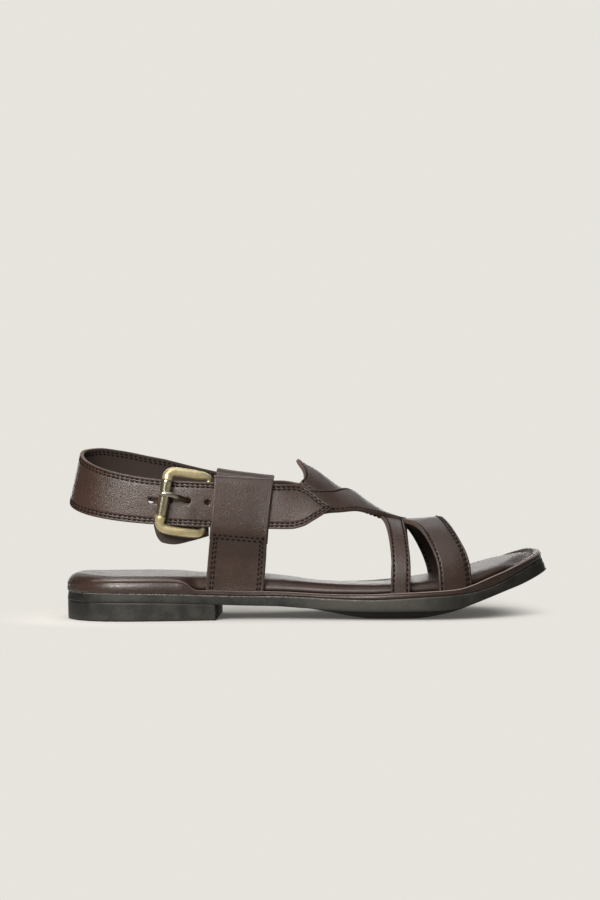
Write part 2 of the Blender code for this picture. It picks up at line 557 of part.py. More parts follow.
heel_strap = sheet("heel_strap", heel_strap_rows(), HEEL_STRAP_WALL, LEATHER)
for number, (hole_x, hole_z, radius) in enumerate(HOLES):
    foot = beside_last(hole_x, hole_z, -1, 0.0)
    start, end = foot + np.array([0, 6, 0]), foot + np.array([0, -14, 0])
    points, faces = turned(start, end, [(0, 0), (0, radius), (20, radius), (20, 0)], sides=12)
    cutter = add(f"hole_{number}", mesh_from("hole", points, faces))
    weld = cutter.modifiers.new("weld", "WELD")
    weld.merge_threshold = 0.00001
    boolean(heel_strap, "DIFFERENCE", cutter)

guard_rows = [[beside_last(x, smooth(GUARD["x"], GUARD["low"], x) * (1 - t)
                           + smooth(GUARD["x"], GUARD["high"], x) * t, -1, -0.6)
               for t in np.linspace(0, 1, 4)]
              for x in (-92.0, -91.4, -90.0, -87.5, -83.0, -76.0, -68.0, -59.6)]
sheet("buckle_guard", guard_rows, GUARD_WALL, LEATHER)


# ---------------------------------------------------------------- buckle
def beside_path(rows, per_span, closed=False):
    rows = [tuple(r) for r in rows]
    if closed:
        dense = through(rows[-2:] + rows + rows[:3], per_span)
        dense = dense[2 * per_span:(2 + len(rows)) * per_span]
    else:
        dense = through(rows, per_span)
    return [(*beside_last(x, z, -1, lift), size) for x, z, lift, size in dense]


wire("buckle_frame", beside_path(FRAME, 1, closed=True), 1.0, BRASS, closed=True, sides=2)
wire("buckle_prong", beside_path(PRONG_PATH, 1), PRONG, BRASS, sides=2)

low_end = Vector(beside_last(-87.75, 63.2, -1, 9.0))
high_end = Vector(beside_last(-83.74, 83.0, -1, 9.0))
length = (high_end - low_end).length
points, faces = turned(low_end, high_end, [
    (0, ROLLER_IN), (0, ROLLER_OUT - 0.3), (0.3, ROLLER_OUT), (length - 0.3, ROLLER_OUT),
    (length, ROLLER_OUT - 0.3), (length, ROLLER_IN)], sides=16)
add("buckle_roller", mesh_from("buckle_roller", points, faces), BRASS)
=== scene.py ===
# %% [markdown]
# # A Peshawari chappal, built as a leather worker builds it
# This is a right sandal: a low rubber sole, a leather-covered footbed, an upper of crossing
# straps, and a heel strap with a roller buckle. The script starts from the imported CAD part, which
# fixes every size, and makes a finer leather, rubber or brass piece in the place of each solid.
# +X runs to the toe, -Y is the outer side, +Z is up. Tables are in millimetres.

# %% Load the frame
import math

import bmesh
import bpy
import numpy as np
from mathutils import Matrix, Vector, noise


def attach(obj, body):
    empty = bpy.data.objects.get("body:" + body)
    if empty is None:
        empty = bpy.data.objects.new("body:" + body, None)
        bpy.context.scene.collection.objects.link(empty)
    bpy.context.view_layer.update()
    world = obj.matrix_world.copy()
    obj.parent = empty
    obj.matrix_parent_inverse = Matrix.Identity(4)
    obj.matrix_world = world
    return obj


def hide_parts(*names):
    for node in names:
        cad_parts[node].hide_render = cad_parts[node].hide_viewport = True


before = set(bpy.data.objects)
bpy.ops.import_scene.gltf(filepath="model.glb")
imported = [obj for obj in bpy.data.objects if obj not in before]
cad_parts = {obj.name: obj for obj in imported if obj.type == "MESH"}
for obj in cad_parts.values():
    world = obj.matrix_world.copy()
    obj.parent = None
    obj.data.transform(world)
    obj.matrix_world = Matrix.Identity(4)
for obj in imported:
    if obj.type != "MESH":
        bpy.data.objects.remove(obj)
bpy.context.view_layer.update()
MM = 0.001

# %% [markdown]
# ## Camera
# A shoe is usually shown from its outer side, from far away, so that the sole line stays straight.
# A 160 mm lens a little over two metres away does that. The camera's own axes are worked out from
# three small angles, and written straight into its matrix, so nothing has to be aimed by hand.

# %% The camera
YAW, PITCH, ROLL = math.radians(2.0), math.radians(2.6), math.radians(0.5)
CAMERA_AT = Vector((-0.0877, -2.3961, 0.2082))
LENS, FILM_HEIGHT = 160.0, 36.0      # focal length and picture height, in millimetres

ahead = Vector((math.sin(YAW) * math.cos(PITCH), math.cos(YAW) * math.cos(PITCH), -math.sin(PITCH)))
level = Vector((math.cos(YAW), -math.sin(YAW), 0.0))
upright = level.cross(ahead)
right = level * math.cos(ROLL) - upright * math.sin(ROLL)
up = level * math.sin(ROLL) + upright * math.cos(ROLL)

lens = bpy.data.cameras.new("camera")
lens.sensor_fit, lens.sensor_height, lens.lens = "VERTICAL", FILM_HEIGHT, LENS
lens.clip_start, lens.clip_end = 0.05, 100.0
camera = bpy.data.objects.new("camera", lens)
camera.matrix_world = Matrix((right, up, -ahead)).transposed().to_4x4()
camera.matrix_world.translation = CAMERA_AT
bpy.context.scene.collection.objects.link(camera)
bpy.context.scene.camera = camera
print("camera", [round(v, 3) for v in camera.matrix_world.translation])

# %% [markdown]
# ## Node trees written as text
# Shader and geometry trees are easier to read when one line adds one node. This small helper makes
# a node, sets its options, and fills its sockets: a socket is linked, anything else is a constant.

# %% A helper for node trees
NUMBER, GEOMETRY = "NodeSocketFloat", "NodeSocketGeometry"


class Board:
    """A node tree to which nodes are added one line at a time."""

    def __init__(self, tree):
        self.tree = tree

    def fill(self, socket, value):
        if isinstance(value, bpy.types.NodeSocket):
            self.tree.links.new(value, socket)
        else:
            socket.default_value = value

    def set(self, node, sockets):
        for key, value in sockets.items():
            self.fill(node.inputs[key], value)
        return node

    def add(self, kind, sockets=None, **options):
        node = self.tree.nodes.new(kind)
        for key, value in options.items():
            setattr(node, key, value)
        return self.set(node, sockets or {})

    def math(self, operation, *values):
        return self.add("ShaderNodeMath", dict(enumerate(values)), operation=operation).outputs[0]

    def times(self, a, b):
        return self.math("MULTIPLY", a, b)

    def ramp(self, value, low, high, start=0.0, end=1.0):
        """start below low, end above high, and a soft change between them."""
        return self.add("ShaderNodeMapRange", {"Value": value, "From Min": low, "From Max": high,
                                               "To Min": start, "To Max": end},
                        interpolation_type="SMOOTHSTEP").outputs[0]

    def mix(self, share, a, b):
        return self.add("ShaderNodeMix", {0: share, 6: a, 7: b}, data_type="RGBA").outputs[2]

    def laid(self, base, mask, share, tone, darker=1.0):
        """The base colour with another laid over it by a share of a mask."""
        return self.mix(self.times(mask, share), base, colour(*[v * darker for v in tone]))

    def place(self):
        """Where a point lies on its piece, in metres."""
        return self.add("ShaderNodeTexCoord").outputs["Object"]

    def split(self, vector):
        """The X and Y of a vector."""
        return self.add("ShaderNodeSeparateXYZ", {0: vector}).outputs[:2]

    def carried(self, uv_map):
        """The two numbers that a mesh carries in a UV map."""
        return self.split(self.add("ShaderNodeUVMap", uv_map=uv_map).outputs[0])

    def noise(self, place, scale, detail, roughness=0.6):
        return self.add("ShaderNodeTexNoise", {"Vector": place, "Scale": scale, "Detail": detail,
                                               "Roughness": roughness}).outputs["Fac"]

    def bump(self, height, deep, strength):
        """A normal raised by a height, deep metres for a height of 1."""
        return self.add("ShaderNodeBump", {"Height": height, "Distance": deep,
                                           "Strength": strength}).outputs[0]


def colour(red, green, blue):
    """A screen colour from 0 to 255, as the linear numbers that a shader takes."""
    def linear(v):
        v /= 255.0
        return v / 12.92 if v <= 0.04045 else ((v + 0.055) / 1.055) ** 2.4
    return linear(red), linear(green), linear(blue), 1.0


def node_group(name, kind, inputs, outputs):
    """A new group with named sockets: (name, socket type, start value)."""
    tree = bpy.data.node_groups.new(name, kind)
    for socket, socket_kind, *start in inputs:
        made = tree.interface.new_socket(name=socket, in_out="INPUT", socket_type=socket_kind)
        if start:
            made.default_value = start[0]
    for socket, socket_kind in outputs:
        tree.interface.new_socket(name=socket, in_out="OUTPUT", socket_type=socket_kind)
    board = Board(tree)
    return board, board.add("NodeGroupInput").outputs, board.add("NodeGroupOutput").inputs


def growing_tree(name, inputs, material, grow):
    """A modifier tree: grow turns the path into geometry, which is made real and given a material."""
    board, given, result = node_group(name, "GeometryNodeTree", [("Geometry", GEOMETRY), *inputs],
                                      [("Geometry", GEOMETRY)])
    board.tree.is_modifier = True
    path = board.add("GeometryNodeMeshToCurve", {"Mesh": given["Geometry"]})
    real = board.add("GeometryNodeRealizeInstances", {0: grow(board, path.outputs[0], given)})
    finish = board.add("GeometryNodeSetMaterial", {"Geometry": real.outputs[0], "Material": material})
    board.fill(result[0], finish.outputs[0])
    return board.tree


print("helpers ready")

# %% [markdown]
# ## Tables of the last and the sole
# A shoemaker cuts every strap round a *last*, the wooden form of the foot, and every layer of the
# sole to one outline. Both are given here as short tables, a column for each station along the
# shoe, so a piece made from them fits its neighbours. `curve` draws a smooth line through a table.

# %% Smooth lines through tables
def curve(xs, ys):
    """A smooth line through the points that never overshoots them, for one value or many."""
    xs, ys = np.asarray(xs, float), np.asarray(ys, float)
    if xs[0] > xs[-1]:
        xs, ys = xs[::-1], ys[::-1]
    step = np.diff(xs)
    rise = np.diff(ys) / step
    slope = np.r_[rise[0], np.zeros(len(xs) - 2), rise[-1]]
    for i in range(1, len(xs) - 1):
        if rise[i - 1] * rise[i] > 0:
            w1, w2 = 2 * step[i] + step[i - 1], step[i] + 2 * step[i - 1]
            slope[i] = (w1 + w2) / (w1 / rise[i - 1] + w2 / rise[i])

    def at(x):
        x = np.clip(np.asarray(x, float), xs[0], xs[-1])
        i = np.clip(np.searchsorted(xs, x) - 1, 0, len(xs) - 2)
        t = (x - xs[i]) / step[i]
        return ((2 * t**3 - 3 * t**2 + 1) * ys[i] + (t**3 - 2 * t**2 + t) * step[i] * slope[i]
                + (3 * t**2 - 2 * t**3) * ys[i + 1] + (t**3 - t**2) * step[i] * slope[i + 1])
    return at


def through(rows, per_span):
    """Rows of numbers made denser by a Catmull-Rom curve through them."""
    rows = np.asarray(rows, float)
    ends = np.vstack([2 * rows[0] - rows[1], rows, 2 * rows[-1] - rows[-2]])
    dense = []
    for i in range(1, len(ends) - 2):
        p0, p1, p2, p3 = ends[i - 1:i + 3]
        for t in np.arange(per_span) / per_span:
            dense.append(0.5 * (2 * p1 + (p2 - p0) * t + (2 * p0 - 5 * p1 + 4 * p2 - p3) * t**2
                                + (3 * p1 - p0 - 3 * p2 + p3) * t**3))
    return np.array(dense + [rows[-1]])


def between_edges(table, places, across):
    """Rows of heights from a table's second column to its third, at places along its first."""
    stations, low, high = list(table.values())[:3]
    low, high = (curve(stations, edge)(places)[:, None] for edge in (low, high))
    return low + (high - low) * np.linspace(0, 1, across)


def round_through(rows, per_span):
    """The same for rows that go once round and meet their own start."""
    rows = np.asarray(rows, float)
    around = np.vstack([rows[-2:], rows, rows[:3]])
    return through(around, per_span)[2 * per_span:(2 + len(rows)) * per_span]

# %% The sizes that drive every piece
STRAP_WALL = 2.2       # leather of the upper
HEEL_STRAP_WALL = 2.4  # two plies stitched together
LOOP_WALL = 1.6        # folded side loops
GUARD_WALL, GUARD_LIFT = 1.6, -0.6   # flap that keeps the buckle off the ankle, and its inner face's lift
STRAP_INSET = 4.5      # inner face of every strap, in from the sole's edge
SEAT_DEPTH = 1.7       # how far the straps stand down in the midsole
BREAST_LATERAL, BREAST_MEDIAL = -55.5, -50.5   # front face of the heel block
WIRE, HINGE, UNDER_ROLLER = 2.7, 1.3, 2.0      # buckle wire radii
ROLLER_OUT, ROLLER_IN = 3.3, 2.5               # the roller's radii
ROLLER_LOW, ROLLER_HIGH = (-87.75, 63.2), (-83.74, 83.0)   # its ends: station and height
ROLLER_LIFT = 9.0      # how far its axis stands off the last
PRONG = 1.25           # the prong's radius
HOLE = 1.7             # radius of the punched holes in the heel strap
PRONG_HOLE = (1.9, PRONG * 1.1 + 0.25)         # half length and half height of the prong's hole
INSIDE = np.array([0.0, 0.0, 20.0])   # a point inside the shoe, which straps face away from
INSIDE_LOOPS = np.array([-45.0, 0.0, 50.0])    # the same for the loops

# Sole outline seen from above: station, outer side, inner side.
PLAN = {
    "x": [-144.3, -141, -133, -119, -100, -80, -74, -69, -64, -58, -36, -14, 6, 26, 46, 66, 84, 100, 114,
        126, 136, 142.4, 144.3],
    "lateral": [-0.5, -13, -24, -31.2, -33.4, -33, -32.7, -32.3, -31.9, -31.6, -31.2, -33.8, -38.4, -43.8,
        -48.6, -50.8, -49.8, -45.4, -38.4, -29.2, -17.6, -5.4, 6],
    "medial": [-0.5, 12.5, 23, 30, 32.2, 31.6, 31.2, 30.8, 30.3, 29.8, 28.6, 29.6, 33.4, 39.4, 45.4, 49.7,
        50.7, 47.8, 42.3, 35.2, 26.6, 16.6, 6],
}

# Heights of the sole along the shoe: underside in the middle and at the edge, top of the
# rubber, top of the leather rand on each side, top of the padded footbed, and insets.
SOLE = {
    "x": [-144.3, -120, -95, -80, -76.5, -73, -70.5, -68.3, -66, -55, -40, -20, -5, 10, 25, 36, 48, 60, 70,
        80, 88, 96, 106, 116, 126, 136, 144.3],
    "floor": [11.3, 11.3, 11.1, 10.7, 10.6, 10.4, 10.3, 10.2, 10.1, 9.4, 8.6, 8.1, 6.9, 4.2, 1.2, 0, 0, 0,
        0.9, 2.8, 5.2, 8.2, 12.3, 16, 19.2, 22.9, 26.2],
    "edge": [11.3, 11.3, 11.1, 10.7, 10.6, 10.4, 10.3, 10.2, 10.1, 9.4, 8.7, 8.2, 7.2, 6.5, 6.2, 6.2, 6.3,
        6.4, 6.4, 6.7, 7.6, 9.4, 12.7, 16.1, 19.2, 22.9, 26.2],
    "deck": [16.9, 16.9, 16.5, 16, 15.9, 15.7, 15.6, 15.5, 15.4, 14.9, 14.4, 14.2, 13.7, 12.9, 12.4, 12.3,
        12.7, 13.5, 14, 14.5, 15.1, 16.1, 18.5, 22.2, 26.6, 30.9, 33.6],
    "rim_out": [23.6, 23.9, 23.9, 23.6, 23.2, 21.9, 20, 18.7, 18.2, 17.9, 17.2, 17, 16.4, 15.7, 15.6, 15.7,
        16.3, 16.8, 17.3, 17.8, 18.6, 20.7, 24.5, 28, 31.7, 35, 36.2],
    "rim_in": [23.6, 23.9, 23.9, 23.6, 23.3, 22.8, 22.3, 21.7, 21.3, 20.3, 19.6, 18.9, 17.6, 16.2, 15.7,
        15.7, 16.2, 16.9, 17.6, 18.4, 19.6, 22, 26.1, 30.3, 34.1, 36.9, 36.8],
    "lip": [2.1, 2.1, 2.1, 2.1, 2.1, 2.2, 2.3, 2.2, 2.1, 2, 2, 2, 2, 2, 2, 2, 2, 2, 2, 1.9, 1.8, 1.7, 1.5,
        1.3, 1, 0.8, 0.7],
    "crown": [26.2, 26.4, 26.4, 26.2, 26.1, 25.9, 25.8, 25.7, 25.6, 25, 24.2, 23.1, 21.9, 20.6, 19.8, 19.7,
        20, 20.9, 21.9, 23.3, 24.7, 26.6, 29.3, 31.9, 34.4, 36.6, 37.1],
    "rubber_in": [0.6, 0.5, 0.4, 0.3, 0.3, 0.2, 0.2, 0.1, 0.1, 0, 0, 0, 0, 0, 0, 0, 0, 0, 0, 0, 0, 0, 0.2,
        0.5, 1, 1.9, 2.7],
    "rand_in": [0, 0.1, 0.3, 0.5, 0.5, 0.6, 0.6, 0.7, 0.7, 0.8, 0.9, 0.9, 0.9, 0.9, 0.9, 0.9, 0.9, 0.9, 0.9,
        0.9, 0.9, 0.9, 1, 1.2, 1.7, 2.6, 3.3],
    "footbed_in": [1.8, 1.8, 1.9, 2.1, 2.3, 3, 3.9, 4.6, 4.9, 5.1, 5.1, 5.1, 5.1, 5.1, 5.1, 5.1, 5.1, 5.1,
        5.1, 5.1, 5.1, 5.1, 5.2, 5.6, 6.4, 7.4, 8.1],
}

# The last: crest height of the straps' inner face, fullness of its shoulders, and the height
# where its sides become upright.
LAST = {
    "x": [-95, -75, -60, -40, -20, -5, 5, 18, 26, 36, 46, 52, 58, 66, 79, 90, 98],
    "crest": [140, 138, 135, 126, 108, 91.3, 85.3, 75.5, 71.2, 64.1, 58.4, 56.2, 54.6, 54.8, 55.7, 54.5,
        52],
    "full": [4.5, 6, 7, 7, 6.2, 6, 5.3, 4, 3.2, 2.5, 2, 1.8, 1.8, 2, 2.4, 2.5, 2.5],
    "foot": [20, 20, 20, 20, 20, 20, 20, 20, 20, 20, 20, 20, 20, 20, 20.6, 22, 24],
}

# Straps of the upper. Each row is one rib across a strap: station and girth angle of one
# edge, then of the other, then the lift above the last. The angle is 0 on the crest, -90 at
# the outer side's foot, +90 at the inner side's, and 100 down in the sole.
INSTEP = [  # from inside the inner loop, over the instep, down to the narrow outer strap
    (-50, 71, -50, 58.2, 2.1), (-25, 66, -25, 50.8, 2.1), (-6, 59, -9, 39.8, 1.6),
    (4, 52.5, -3.8, 35.8, 0.8), (10.5, 47.5, -1.6, 31.5, 0.3), (17, 42.8, -1, 25.5, 0),
    (23.3, 38.1, -1.9, 17.5, 0), (29, 32.8, -4.2, 9.5, 0), (34.8, 26.8, -6.6, 0.5, 0),
    (38.5, 22.5, -5.8, -9, 0), (41.5, 18.5, -3.2, -17, 0), (44.5, 14, -2.8, -26, 0),
    (47.5, 11, -4.6, -33.5, 0), (50, 9, 8, -35, 0), (52.2, 6.5, 24, -29.5, 0), (54.3, 3.5, 35.5, -20, 0),
    (56.4, -1, 40.6, -15.2, 0), (57.1, -8, 43.3, -14.4, 0), (57.2, -16, 44.7, -19, 0),
    (57.5, -26, 45.8, -27.5, 0), (58.1, -41, 46.8, -41, 0), (59, -57, 47.6, -57, 0),
    (59.2, -73, 47.9, -73, 0), (58.8, -90, 47.6, -90, 0), (58.8, -100, 47.6, -100, 0),
]
OVERLAY_STRAP = [  # from the buckle's hinge, over the crest, down to the narrow inner strap
    (-60.4, -71, -58.4, -58.3, 2.2), (-30, -67.6, -30, -52.5, 2.2), (-8, -58.5, -8, -40.5, 1.9),
    (6, -49.9, -1, -36.6, 1.4), (14.4, -43.2, 4.5, -33.6, 1.4), (23.3, -36.2, 8.4, -30.2, 1.4),
    (28.9, -30.8, 12.5, -25, 1.4), (34.8, -24.8, 15.6, -18.9, 1.4), (39.6, -19.4, 18.4, -12.5, 1.5),
    (44.6, -13.2, 22, -5.5, 1.7), (49.8, -8.4, 26.4, 0.5, 1.7), (54.6, -5, 31.8, 7, 1.5),
    (58.4, 1, 38, 13, 1.4), (60, 8, 43.4, 18, 1.4), (60.8, 16, 47, 24, 1.4), (61.4, 26, 49.2, 32, 1.3),
    (62.2, 41, 50.8, 42, 0.9), (63.4, 57, 52.2, 57.5, 0.3), (64, 73, 53.2, 73, 0), (63.6, 90, 53, 90, 0),
    (63.6, 100, 53, 100, 0),
]
TOE_BAND = [  # wide band over the toes, tucked under the overlay at the crest
    (75.7, -100, 94.6, -100, 0), (75.7, -90, 94.6, -90, 0), (75.1, -72, 94, -74, 0.1),
    (73.1, -58.9, 91.9, -59, 0.3), (70.2, -44.5, 88.6, -45, 0.5), (66.4, -28, 85.2, -29, 0.6),
    (61.2, -13, 82.7, -15, 0.6), (55, -3, 81.5, -3, 0.6), (55, 6, 81.4, 6, 0.6), (57.6, 16, 82, 16, 0.6),
    (61, 31, 84.4, 31, 0.6), (65, 44.8, 88, 45, 0.5), (70.4, 64, 93, 63, 0.3), (74.2, 80, 96.2, 80, 0.1),
    (75.4, 90, 96.6, 90, 0), (75.4, 100, 96.6, 100, 0),
]

# Heel strap. Along each side it is set by station; round the back by angle (degrees from
# straight back, inner side positive). Columns: place, lower edge, upper edge, lift.
STRAP_INNER = {
    "x": [-24, -40, -54, -70, -90],
    "low": [52.4, 55.4, 58.3, 62, 67.2],
    "high": [79, 81.6, 84.5, 88.5, 94],
    "lift": [4.8, 4.8, 4.8, 3.8, 2.6],
}
STRAP_BACK = {
    "angle": [90, 62, 40, 20, 0, -20, -40, -62, -90],
    "low": [67.2, 71, 72.2, 71, 68.3, 65.3, 62.5, 60, 57.5],
    "high": [94, 98.6, 100.5, 100.1, 98.1, 94.8, 91.3, 87.8, 84.2],
}
STRAP_OUTER = {
    "x": [-90, -80, -70, -62, -40, -20, -10, -3.5, 2.5, 8, 11.4],
    "low": [57.5, 56.9, 56.5, 56.1, 55, 54.2, 53.8, 54.9, 57.8, 60.8, 62.8],
    "high": [84.2, 83.1, 82.5, 82.1, 80.9, 79, 77.5, 75, 70.8, 66.3, 64.3],
    "lift": [2.4, 3.2, 4.5, 4.8, 4.8, 4.8, 4.8, 4.8, 4.8, 4.8, 4.8],
}
BACK_CENTRE, BACK_REACH_LOW, BACK_REACH_HIGH = -90.0, 50.2, 43.4   # the bend's centre and radii
BACK_SQUARE = 0.94     # 1 for an ellipse round the heel, less for a squarer bend
BEND_FROM, BEND_ANGLE = -84.0, 84     # the station and the angle at which sides and bend meet

# Side loops: one strip from the sole, over the straps and down behind them. Columns: lift of
# the leather's middle, height above the top of the fold (negative) or above the sole.
LOOP_PATH = [  # (lift, height, measured from: "sole" or "fold")
    (1.1, 0, "sole"), (1.1, 8, "sole"), (1.3, 15.5, "sole"), (1.8, 22, "sole"), (2.9, -42.4, "fold"),
    (4.6, -38.4, "fold"), (6.5, -34.8, "fold"), (7.9, -31.4, "fold"), (8.45, -26.5, "fold"),
    (8.45, -17, "fold"), (8.45, -9, "fold"), (8.45, -3, "fold"), (7.6, -0.9, "fold"), (4.55, -0.2, "fold"),
    (1.5, -0.9, "fold"), (0.7, -3.2, "fold"), (0.7, -9, "fold"), (0.7, -17, "fold"), (0.7, -25, "fold"),
    (0.6, -31, "fold"), (0.1, -37, "fold"),
]
LOOP_EDGES = {  # rear and front edges: station at the sole and at the fold, height of fold
    "lateral_loop": dict(side=-1, rear=(-62.0, -56.2, 85.4), front=(-27.4, -21.6, 82.2)),
    "medial_loop":  dict(side=1, rear=(-60.0, -53.9, 86.4), front=(-26.4, -19.6, 80.9)),
}

GUARD = {
    "x": [-92, -90.6, -87, -80, -70, -59.6],
    "low": [56, 50.8, 46.6, 45.5, 47.4, 50.2],
    "high": [70, 75.5, 78.8, 80, 80, 79.5],
}

# Buckle frame, once round: station, height, lift above the last, wire radius.
FRAME = [
    (-88.3, 60.5, 9, UNDER_ROLLER), (-85.8, 73, 9, UNDER_ROLLER), (-83.5, 84.2, 9, UNDER_ROLLER),
    (-83, 86, 8.7, 2.4), (-81.2, 87.5, 8.3, WIRE), (-77.9, 87.8, 7.6, WIRE), (-70.4, 86.8, 6.2, WIRE),
    (-64, 85.8, 5, 2.5), (-60.3, 84.9, 3.9, 2), (-59, 83.2, 3.1, 1.5), (-59.9, 80.6, 2.9, HINGE),
    (-61.6, 69, 2.9, HINGE), (-62.8, 57.5, 2.9, HINGE), (-63.2, 54.4, 3.2, 1.7), (-65, 52.4, 4.1, 2.4),
    (-68.5, 52.3, 5.3, WIRE), (-76, 53.2, 7.4, WIRE), (-83, 54.5, 8.4, WIRE), (-87, 55.9, 8.7, WIRE),
    (-88.5, 58.4, 8.9, 2.4),
]
PRONG_PATH = [  # station, height, lift, thickness factor
    (-63.5, 70.9, 2.7, 1), (-67.4, 71.1, 2.6, 1), (-69.6, 71.3, 3.3, 1), (-71.8, 71.5, 5.7, 1),
    (-73.6, 72.1, 8.2, 1), (-76.6, 73.3, 11, 1), (-80, 74.4, 13.1, 1), (-83, 75.1, 13.9, 1.05),
    (-85.6, 75.5, 13.9, 1.1), (-87.6, 75.7, 13.3, 0.8),
]
HOLES = [(-93.6, 71.9), (-82.4, 71.8), (-71.8, 71.5), (-60.2, 70.6), (-50.6, 69.8)]   # station, height
PRONG_IN = 2           # the number of the hole that the prong is in

# %% The last and the sole as functions
SOLE_AT = {name: curve(SOLE["x"], column) for name, column in SOLE.items() if name != "x"}
LAST_AT = {name: curve(LAST["x"], column) for name, column in LAST.items() if name != "x"}
OUTER_WIDTH, INNER_WIDTH = curve(PLAN["x"], PLAN["lateral"]), curve(PLAN["x"], PLAN["medial"])


def rim(x, side):
    """Height of the rand's top edge at a station, on the outer (-1) or the inner (1) side."""
    return np.where(np.asarray(side) < 0, SOLE_AT["rim_out"](x), SOLE_AT["rim_in"](x))


def half_width(x, side):
    """Half the sole's width at a station, on the outer (-1) or the inner (1) side."""
    return np.abs(np.where(np.asarray(side) < 0, OUTER_WIDTH(x), INNER_WIDTH(x)))


def last_point(x, girth):
    """Point of the last at a station and a girth angle: 0 crest, -90 outer foot, 90 inner foot."""
    x, girth = np.broadcast_arrays(np.asarray(x, float), np.asarray(girth, float))
    side = np.where(girth < 0, -1.0, 1.0)
    angle = np.radians(np.minimum(np.abs(girth), 90.0))
    foot, crest = LAST_AT["foot"](x), LAST_AT["crest"](x)
    y = (half_width(x, side) - STRAP_INSET) * np.sin(angle) + LAST_AT["full"](x) * np.sin(2 * angle)
    z = foot + (crest - foot) * np.cos(angle)
    down = np.clip(np.abs(girth) - 90, 0, None) / 10
    return np.stack([x, side * y, z - down * (foot - rim(x, side) + SEAT_DEPTH)], -1)


def on_last(x, girth, lift=0.0):
    """The same point, moved outward from the last by lift."""
    x, girth, lift = np.broadcast_arrays(*(np.asarray(v, float) for v in (x, girth, lift)))
    here = last_point(x, girth)
    along = last_point(x + 0.5, girth) - last_point(x - 0.5, girth)
    round_it = last_point(x, np.clip(girth + 1, -90, 90)) - last_point(x, np.clip(girth - 1, -90, 90))
    seated = np.zeros_like(here)
    seated[..., 2] = -np.sign(girth)
    round_it = np.where((np.abs(girth) > 90)[..., None], seated, round_it)
    normal = np.cross(along, round_it)
    normal /= np.linalg.norm(normal, axis=-1, keepdims=True)
    middle = np.stack([x, np.zeros_like(x), LAST_AT["foot"](x)], -1)
    inward = np.sum(normal * (here - middle), -1) < 0
    return here + normal * np.where(inward, -1.0, 1.0)[..., None] * lift[..., None]


def beside_last(x, z, side, lift):
    """Point beside the last at a station and a height, moved outward by lift."""
    x, z, side, lift = np.broadcast_arrays(*(np.asarray(v, float) for v in (x, z, side, lift)))
    foot, crest = LAST_AT["foot"](x), LAST_AT["crest"](x)
    share = np.clip((z - foot) / (crest - foot), 0, 1)
    low = z < foot
    girth = side * np.where(low, 90.0, np.degrees(np.arccos(share)))
    point = on_last(x, girth, lift)
    point[..., 2] += np.where(low, z - foot, 0.0)
    return point


print("ball width", float(half_width(66.0, -1) + half_width(66.0, 1)), "mm")

# %% [markdown]
# ## From points to a piece
# Every piece below ends as one plain closed mesh. `mesh_of` makes it from points and faces, and
# `finished` makes it an object, smooths it, hides the CAD solids that it stands in for, and lets
# it ride on the part's only body. UV maps carry what a finish needs to know: how far a point is
# from a cut edge, or how high it stands on the sole's side.

# %% Making a finished piece
PIECES = bpy.data.collections.new("sandal_finish")
bpy.context.scene.collection.children.link(PIECES)


def face_out(mesh):
    """Turns every face of a closed mesh outward."""
    shell = bmesh.new()
    shell.from_mesh(mesh)
    bmesh.ops.remove_doubles(shell, verts=shell.verts, dist=1e-7)
    bmesh.ops.recalc_face_normals(shell, faces=shell.faces)
    shell.to_mesh(mesh)
    shell.free()


def mesh_of(name, points, faces, uv_maps=None):
    """A closed mesh from points in millimetres, with a pair of numbers for each face corner."""
    mesh = bpy.data.meshes.new(name)
    mesh.from_pydata((np.asarray(points) * MM).tolist(), [], [tuple(map(int, f)) for f in faces])
    for label, values in (uv_maps or {}).items():
        mesh.uv_layers.new(name=label).data.foreach_set("uv", np.asarray(values, np.float32).ravel())
    face_out(mesh)
    return mesh


def finished(mesh, material, slot, *nodes):
    """Links a mesh as a piece of the sandal that stands for the named CAD nodes."""
    mesh.materials.clear()
    mesh.materials.append(material)
    mesh.shade_smooth()
    piece = bpy.data.objects.new(mesh.name, mesh)
    PIECES.objects.link(piece)
    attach(piece, "root")
    if nodes:
        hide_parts(*nodes)
    return piece


def evaluated(obj):
    """The mesh that an object's modifiers make, with the object itself taken away."""
    graph = bpy.context.evaluated_depsgraph_get()
    made = bpy.data.meshes.new_from_object(obj.evaluated_get(graph), depsgraph=graph)
    name, before = obj.name, obj.data
    bpy.data.objects.remove(obj, do_unlink=True)
    bpy.data.meshes.remove(before)
    made.name = name
    return made


def helper(mesh):
    obj = bpy.data.objects.new(mesh.name, mesh)
    bpy.context.scene.collection.objects.link(obj)
    return obj


def grown(name, points, edges, carried, values, tree, **settings):
    """The mesh that a node tree grows from a path in millimetres whose points carry some values."""
    path = bpy.data.meshes.new(name)
    path.from_pydata((np.asarray(points) * MM).tolist(), edges, [])
    values = np.asarray(values, float)
    kind, key = ("FLOAT", "value") if values.ndim == 1 else ("FLOAT_VECTOR", "vector")
    path.attributes.new(carried, kind, "POINT").data.foreach_set(key, values.ravel())
    obj = helper(path)
    modifier = obj.modifiers.new(name, "NODES")
    modifier.node_group = tree
    for socket in tree.interface.items_tree:
        if socket.in_out == "INPUT" and socket.name in settings:
            modifier[socket.identifier] = settings[socket.name]
    return evaluated(obj)


def cut(mesh, *cutters):
    """The mesh with each cutter's shape taken out of it."""
    obj = helper(mesh)
    tools = [helper(cutter) for cutter in cutters]
    for tool in tools:
        taken = obj.modifiers.new("cut", "BOOLEAN")
        taken.operation, taken.solver, taken.object = "DIFFERENCE", "EXACT", tool
    made = evaluated(obj)
    for tool in tools:
        bpy.data.objects.remove(tool, do_unlink=True)
    return made


print("piece helpers ready")
